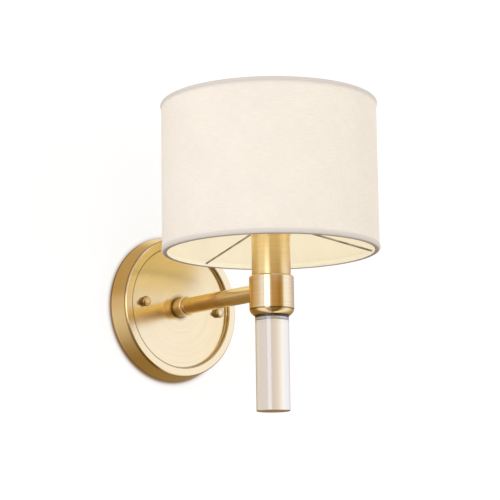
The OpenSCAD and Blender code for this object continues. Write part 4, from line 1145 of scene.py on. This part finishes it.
def lead_route(side):
    """The points that a lead follows from the lampholder down into the cup, through the arm and up to its
    connector, as (x, y, z)."""
    lead_x, lead_side, mid = 4.5, 1.3, WIRING_DEPTH
    holder = heights_of("socket_body")[0]
    nipple_end = ARM_REACH - depths_of("cup_nipple")[1]
    nipple_start = depths_of("canopy_nipple")[0]
    post = [(lead_x, 0, holder + 2.4), (lead_x, 0, holder - 3), (lead_x - 0.2, 0.8, holder / 2 + 0.5),
            (lead_x - 1.2, 3.6, 3.2), (lead_side + 0.7, 7.6, 0.6), (lead_side, nipple_end, 0)]
    wall = [(lead_side, 0, ARM_REACH - CUP_R), (lead_side, 0, ARM_REACH / 2), (lead_side, 0, FLOOR_DEPTH),
            (lead_side, 0, nipple_start + 1), (lead_side + 0.7, 2.2, nipple_start - 2.6),
            (5, 7.4, BRACKET_T + 2.6), (9.6, 12.6, (BRACKET_T + 2.6 + mid) / 2 - 0.4),
            (11.8, 18, mid - 0.3), (12, 22, mid), (12, 29, mid)]
    return [(side * x, y - ARM_REACH, z) for x, y, z in post] + [(side * x, -d, z) for x, z, d in wall]


def connector(place, up):
    """A twist-on connector: a ribbed cone on a plain skirt, with a blind hole round the lead."""
    radius, total, hole_r, hole_end = 4.3, 16.0, 1.25, 10.0
    tip = 0.6 * radius
    corners = [(hole_r, 0, 0.15), (radius, 0, 0.4), (radius, 2.6, 0.3), (radius - 0.5, 3.1, 0.2),
               (tip, total - 0.3, 0.7), (0, total, 0)]
    outside = rounded(corners, closed=False)
    heights = np.linspace(3.6, total - 1.6, 8)
    slope = np.interp(heights, [3.1, total - 0.3], [radius - 0.5, tip])
    cone = unmarked(np.column_stack([slope, heights]))
    above = outside[outside[:, 1] > total - 1.5]
    below = outside[outside[:, 1] < 3.5]
    outline = np.vstack([[[0, hole_end, 0], [hole_r, hole_end, 0]], below, cone, above])
    surface = lathe(outline, 112, loop=False, ripple=grooves(14, 0.3, 3.5, total - 1.5, 2))

    def put(points):
        return points * np.array([1, up, up]) + np.array(place)
    return placed(surface, put)


class SCONCE_OT_wiring(bpy.types.Operator):
    """Draws the leads, the ground wire and the twist-on connectors"""
    bl_idname = "sconce.wiring"
    bl_label = "Wiring"

    def execute(self, context):
        lead_r, ground_r, mid = 0.95, 0.8, WIRING_DEPTH
        for side, name in ((-1, "black"), (1, "white")):
            path = smooth(lead_route(side), 8)
            make("lead_" + name + "_drawn", swept(path, lead_r, 16, (1, 0, 0)),
                 name + "_insulation", ["lead_" + name], sharp=60)
        screw_x, screw_z = -12.7, -12.7
        loop_r = 1.9 + ground_r + 0.3
        ground_d = BRACKET_T + ground_r + 0.1
        a = np.radians(-30 + 285 * np.arange(10) / 9)
        ring = [(screw_x + loop_r * math.cos(t), -ground_d, screw_z + loop_r * math.sin(t)) for t in a]
        run = [(-9, -17, ground_d + 0.4), (-4.6, -18.6, (ground_d + mid) / 2 - 0.4),
               (-1.2, -20.6, mid - 0.6), (0, -24.5, mid), (0, -32, mid)]
        path = smooth(ring + [(x, -d, z) for x, z, d in run], 6)
        wire = swept(path, ground_r, 16, (0, 1, 0))
        make("ground_wire_drawn", wire, "copper", ["ground_wire"], sharp=60)
        caps = [connector((side * 12, -mid, 20), 1) for side in (-1, 1)] + [connector((0, -mid, -23), -1)]
        make("connectors_ribbed", joined(*caps), "orange_cap", ["wire_connectors"])
        return {"FINISHED"}


class SCONCE_OT_hardware(bpy.types.Operator):
    """Gives the bracket, nuts, nipples and lampholder their own finishes"""
    bl_idname = "sconce.hardware"
    bl_label = "Hardware finishes"

    def execute(self, context):
        for name, kind in KEPT_NODES.items():
            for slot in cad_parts[name].material_slots:
                slot.material = finish(kind)
        for name in BEHIND_GLASS:
            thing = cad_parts[name] if name in KEPT_NODES else bpy.data.objects[name]
            thing.visible_transmission = False
        return {"FINISHED"}


# The studio. Each ring goes round the sconce: an angle in degrees, from straight out of the wall towards
# the right, and the colour there. Polished metal mirrors STUDIO_RING at the height of the eye, UNDER_RING
# below it, and the single faces in their places. Clear glass sees GLASS_RING.
WHITE = (1.0, 1.0, 1.0, 1.0)
STUDIO_LEVEL = 5.2
STUDIO_RING = [
    (-180, 0.43, 0.27, 0.13), (-150, 0.58, 0.4, 0.26), (-142, 0.66, 0.5, 0.38), (-133, 0.68, 0.52, 0.42),
    (-119, 0.74, 0.62, 0.63), (-112, 0.78, 0.71, 0.83), (-100, 0.91, 0.91, 1.3), (-94, 1.01, 1.04, 1.6),
    (-81, 0.96, 1.02, 1.68), (-50.5, 1.1, 1.15, 1.8), (-46.5, 0.82, 0.74, 0.98), (-42, 0.6, 0.47, 0.46),
    (-36, 0.54, 0.37, 0.22), (-10, 0.5, 0.29, 0.1), (-5, 0.42, 0.23, 0.06), (2, 0.4, 0.22, 0.06),
    (13, 0.46, 0.35, 0.18), (17.5, 0.56, 0.46, 0.34), (23, 0.9, 0.86, 0.98), (28, 1.12, 1.18, 1.7),
    (45, 1.08, 1.25, 2.18), (57, 1.02, 1.16, 1.94), (74, 0.9, 0.9, 1.27), (84, 0.8, 0.75, 0.98),
    (96, 0.65, 0.62, 0.77), (112, 0.54, 0.53, 0.7), (130, 0.5, 0.4, 0.35), (160, 0.45, 0.3, 0.17),
    (180, 0.43, 0.27, 0.13),
]
STUDIO_PANEL = (3.00, 3.00, 3.60)
STUDIO_FRONT = (1.30, 1.40, 2.60)
STUDIO_TOP = (0.80, 0.75, 0.85)
STUDIO_SHELF = (0.97, 0.83, 0.58)
STUDIO_SOFFIT = (0.52, 0.38, 0.22)
UNDER_RING = [
    (-180, 0.27, 0.17, 0.06), (-150, 0.27, 0.17, 0.06), (-134, 0.38, 0.28, 0.17), (-118, 1.01, 0.98, 1.09),
    (-84, 1.06, 1.03, 1.15), (-66, 0.24, 0.14, 0.07), (-45, 0.12, 0.07, 0.03), (10, 0.12, 0.07, 0.03),
    (28, 0.53, 0.44, 0.34), (48, 1.16, 1.13, 1.26), (72, 0.96, 0.89, 0.86), (95, 0.48, 0.37, 0.23),
    (130, 0.3, 0.2, 0.08), (180, 0.27, 0.17, 0.06),
]
GLASS_RING = [
    (-180, 0.93, 0.89, 0.83), (-160, 1.0, 0.95, 0.88), (-120, 0.82, 0.78, 0.74), (0, 0.8, 0.78, 0.75),
    (44, 0.55, 0.51, 0.47), (76, 0.62, 0.56, 0.5), (86, 0.82, 0.75, 0.66), (105, 0.74, 0.65, 0.53),
    (126, 0.7, 0.61, 0.51), (140, 0.71, 0.61, 0.51), (150, 0.82, 0.72, 0.6), (158, 0.99, 0.89, 0.76),
    (166, 1.02, 0.94, 0.82), (174, 0.94, 0.89, 0.81), (180, 0.93, 0.89, 0.83),
]


def studio_world():
    """White for the camera. Metal mirrors the studio's ring, its ceiling and its floor, clear glass sees a
    pale version of them, and the rest is lit by a plain even sky."""
    world = bpy.data.worlds.new("studio")
    bpy.context.scene.world = world
    tree = Tree(world)
    x, y, z = tree.parts(tree.node("ShaderNodeTexCoord", out="Generated"))
    share = x.angle_to(y * -1.0) / TURN + 0.5

    def ring(stops):
        stops = [(angle / 360 + 0.5, [c / STUDIO_LEVEL for c in tone]) for angle, *tone in stops]
        return tree.node("ShaderNodeValToRGB", {0: share}, stops=stops)
    top, shelf, soffit, panel, front = (rgba([c / STUDIO_LEVEL for c in tone]) for tone in (
        STUDIO_TOP, STUDIO_SHELF, STUDIO_SOFFIT, STUDIO_PANEL, STUDIO_FRONT))
    behind = y.clamped(0.0, 0.4)
    room = tree.mixed(z.clamped(0.2, 0.38) * behind, ring(STUDIO_RING),
                      tree.mixed(x.clamped(-0.3, 0.0), soffit, shelf))
    room = tree.mixed(z.clamped(0.58, 0.7) * behind, room, soffit)
    room = tree.mixed(z.clamped(0.88, 0.99), room, top)
    room = tree.mixed((0.1 - z).clamped(0.0, 0.22) * (y * 0.2 + 0.8), room, ring(UNDER_RING))
    front_place, front_half = 0.478, 0.082
    panel_place, panel_half = 0.3222, 0.036
    across = (front_half - abs(share - front_place)).clamped(0.0, 0.02)
    room = tree.mixed(across * z.clamped(0.22, 0.34), room, front)
    across = (panel_half - abs(share - panel_place)).clamped(0.0, 0.0055)
    room = tree.mixed(across * z.clamped(-0.34, -0.2) * (0.34 - z).clamped(0.0, 0.1), room, panel)
    glow = [tree.node("ShaderNodeBackground", {0: tone, 1: level}) for tone, level in (
        (room, STUDIO_LEVEL), (WHITE, 1.0), (ring(GLASS_RING), STUDIO_LEVEL), ((1.0, 0.985, 0.97, 1), 1.0))]
    mirrored, seen, glassy, plain = glow
    is_camera, is_glossy, is_clear = (tree.node("ShaderNodeLightPath", out=name) for name in (
        "Is Camera Ray", "Is Glossy Ray", "Is Transmission Ray"))
    shader = tree.blend(is_clear, tree.blend(is_glossy, plain, mirrored), glassy)
    tree.surface(tree.blend(is_camera, shader, seen), "ShaderNodeOutputWorld")


def hidden(thing, *rays):
    """Hides an object from some kinds of rays."""
    for ray in rays:
        setattr(thing, "visible_" + ray, False)


def backdrop(name, corners, shadow, dimmed=0.0):
    """A pale plane that the camera sees from its front side only. It shows the sconce's shadow in a share,
    and its rim fades into the white behind it. Close round a disc of the radius dimmed it has a painted
    shadow, warm and darker, for the brass that keeps the light away and lends its colour."""
    painted_shadow_width, painted_shadow_drop, painted_shadow_fade, painted_shadow_tint = 0.0065, 0.001, 3.4, (0.3, 0.2, 0.12, 1)
    mesh = bpy.data.meshes.new(name)
    mesh.from_pydata(corners, [], [[0, 1, 2, 3]])
    material = bpy.data.materials.new(name)
    tree = Tree(material)
    x, y, z = tree.parts(tree.place())
    lit = tree.node("ShaderNodeBsdfDiffuse", {"Color": (1.0, 0.97, 0.93, 1)})
    white = tree.node("ShaderNodeEmission", {"Color": WHITE, "Strength": 1.0})
    paper = tree.blend(1 - shadow, lit, white)
    spread = (x * x + y * y + z * z).root().clamped(0.5, 1.0)
    if dimmed:
        from_disc = (x * x + (z + painted_shadow_drop) ** 2.0).root()
        near = ((dimmed + painted_shadow_width - from_disc) / painted_shadow_width).larger(0.0)
        # A painted shadow, warm and dark, round the canopy's rim
        painted_shadow = tree.node("ShaderNodeEmission", {"Color": painted_shadow_tint, "Strength": 1.0})
        paper = tree.blend(near ** painted_shadow_fade, paper, painted_shadow)
    behind = tree.node("ShaderNodeNewGeometry", out="Backfacing")
    tree.surface(tree.blend(spread.larger(behind), paper, tree.node("ShaderNodeBsdfTransparent")))
    mesh.materials.append(material)
    plane = added(name, mesh)
    hidden(plane, "diffuse", "glossy", "transmission", "shadow")


def lamp(name, place, target, size, power, tint):
    """A soft square lamp that lights cloth and paint, while metal mirrors only the studio."""
    light = bpy.data.lights.new(name, "AREA")
    light.shape = "RECTANGLE"
    light.size, light.size_y = size
    light.energy = power
    light.color = tint
    holder = added(name, light)
    holder.matrix_world = aimed(np.array(place), np.array(target) - np.array(place))
    hidden(holder, "glossy", "transmission", "camera")


def aimed(place, way):
    """A matrix at a place whose -Z looks along a direction, with its X level."""
    back = -way / np.linalg.norm(way)
    right = np.cross([0, 0, 1], back)
    right /= np.linalg.norm(right)
    up = np.cross(back, right)
    matrix = np.eye(4)
    matrix[:3, 0], matrix[:3, 1], matrix[:3, 2], matrix[:3, 3] = right, up, back, place
    return Matrix(matrix.tolist())


# The photo's camera, fitted to its outlines: yaw, pitch and roll in degrees, place in metres, lens
CAMERA_TURN = (39.83, 9.89, -0.82)
CAMERA_PLACE = (-1.11526, -1.45479, -0.26450)
CAMERA_LENS = 144.57


class SCONCE_OT_stage(bpy.types.Operator):
    """Sets the pale wall and floor, the lamps, the studio that metal mirrors, and the camera"""
    bl_idname = "sconce.stage"
    bl_label = "Stage and camera"

    def execute(self, context):
        scene = context.scene
        scene.view_settings.view_transform = "Standard"
        studio_world()
        wide, wall_y, floor_z = 1.2, 0.0006, -1.0
        square = [(-wide, -wide), (wide, -wide), (wide, wide), (-wide, wide)]
        backdrop("wall", [(x, wall_y, z) for x, z in square], 0.2, CANOPY_R * MM)
        backdrop("floor", [(x, y, floor_z) for x, y in square], 0.35)
        target = (0.0, -ARM_REACH * MM, 0.05)
        lamp("key", (-1.6, -0.75, 0.6), target, (1.0, 1.2), 13.0, (1.0, 0.975, 0.995))
        lamp("fill", (1.1, -1.5, 0.2), target, (1.2, 1.2), 8.5, (1.0, 0.955, 0.91))
        yaw, pitch, roll = np.radians(CAMERA_TURN)
        way = np.array([math.sin(yaw) * math.cos(pitch), math.cos(yaw) * math.cos(pitch), math.sin(pitch)])
        camera = bpy.data.cameras.new("camera")
        camera.lens = CAMERA_LENS
        camera.sensor_width = 36
        camera.clip_start = 0.05
        holder = added("camera", camera)
        holder.matrix_world = aimed(np.array(CAMERA_PLACE), way) @ Matrix.Rotation(roll, 4, "Z")
        scene.camera = holder
        return {"FINISHED"}


OPERATORS = (
    SCONCE_OT_canopy, SCONCE_OT_cap_nuts, SCONCE_OT_arm, SCONCE_OT_cup, SCONCE_OT_sleeve, SCONCE_OT_rod,
    SCONCE_OT_shade, SCONCE_OT_fitter, SCONCE_OT_lamp, SCONCE_OT_wiring, SCONCE_OT_hardware, SCONCE_OT_stage)


class SCONCE_PT_panel(bpy.types.Panel):
    """Lists the sconce's pieces, sizes and colours"""
    bl_idname = "SCONCE_PT_panel"
    bl_label = "Wall sconce"
    bl_space_type = "VIEW_3D"
    bl_region_type = "UI"
    bl_category = "Sconce"

    def draw(self, context):
        for operator in OPERATORS:
            self.layout.operator(operator.bl_idname)
        for group in (context.scene.sconce_sizes, context.scene.sconce_colours):
            for name in type(group).__annotations__:
                self.layout.prop(group, name)


CLASSES = (SconceSizes, SconceColours, *OPERATORS, SCONCE_PT_panel)


def register():
    for kind in CLASSES:
        bpy.utils.register_class(kind)
    bpy.types.Scene.sconce_sizes = PointerProperty(type=SconceSizes)
    bpy.types.Scene.sconce_colours = PointerProperty(type=SconceColours)


def unregister():
    del bpy.types.Scene.sconce_colours
    del bpy.types.Scene.sconce_sizes
    for kind in reversed(CLASSES):
        bpy.utils.unregister_class(kind)


def main():
    register()
    for operator in OPERATORS:
        group, name = operator.bl_idname.split(".")
        getattr(getattr(bpy.ops, group), name)()


if __name__ == "__main__":
    main()
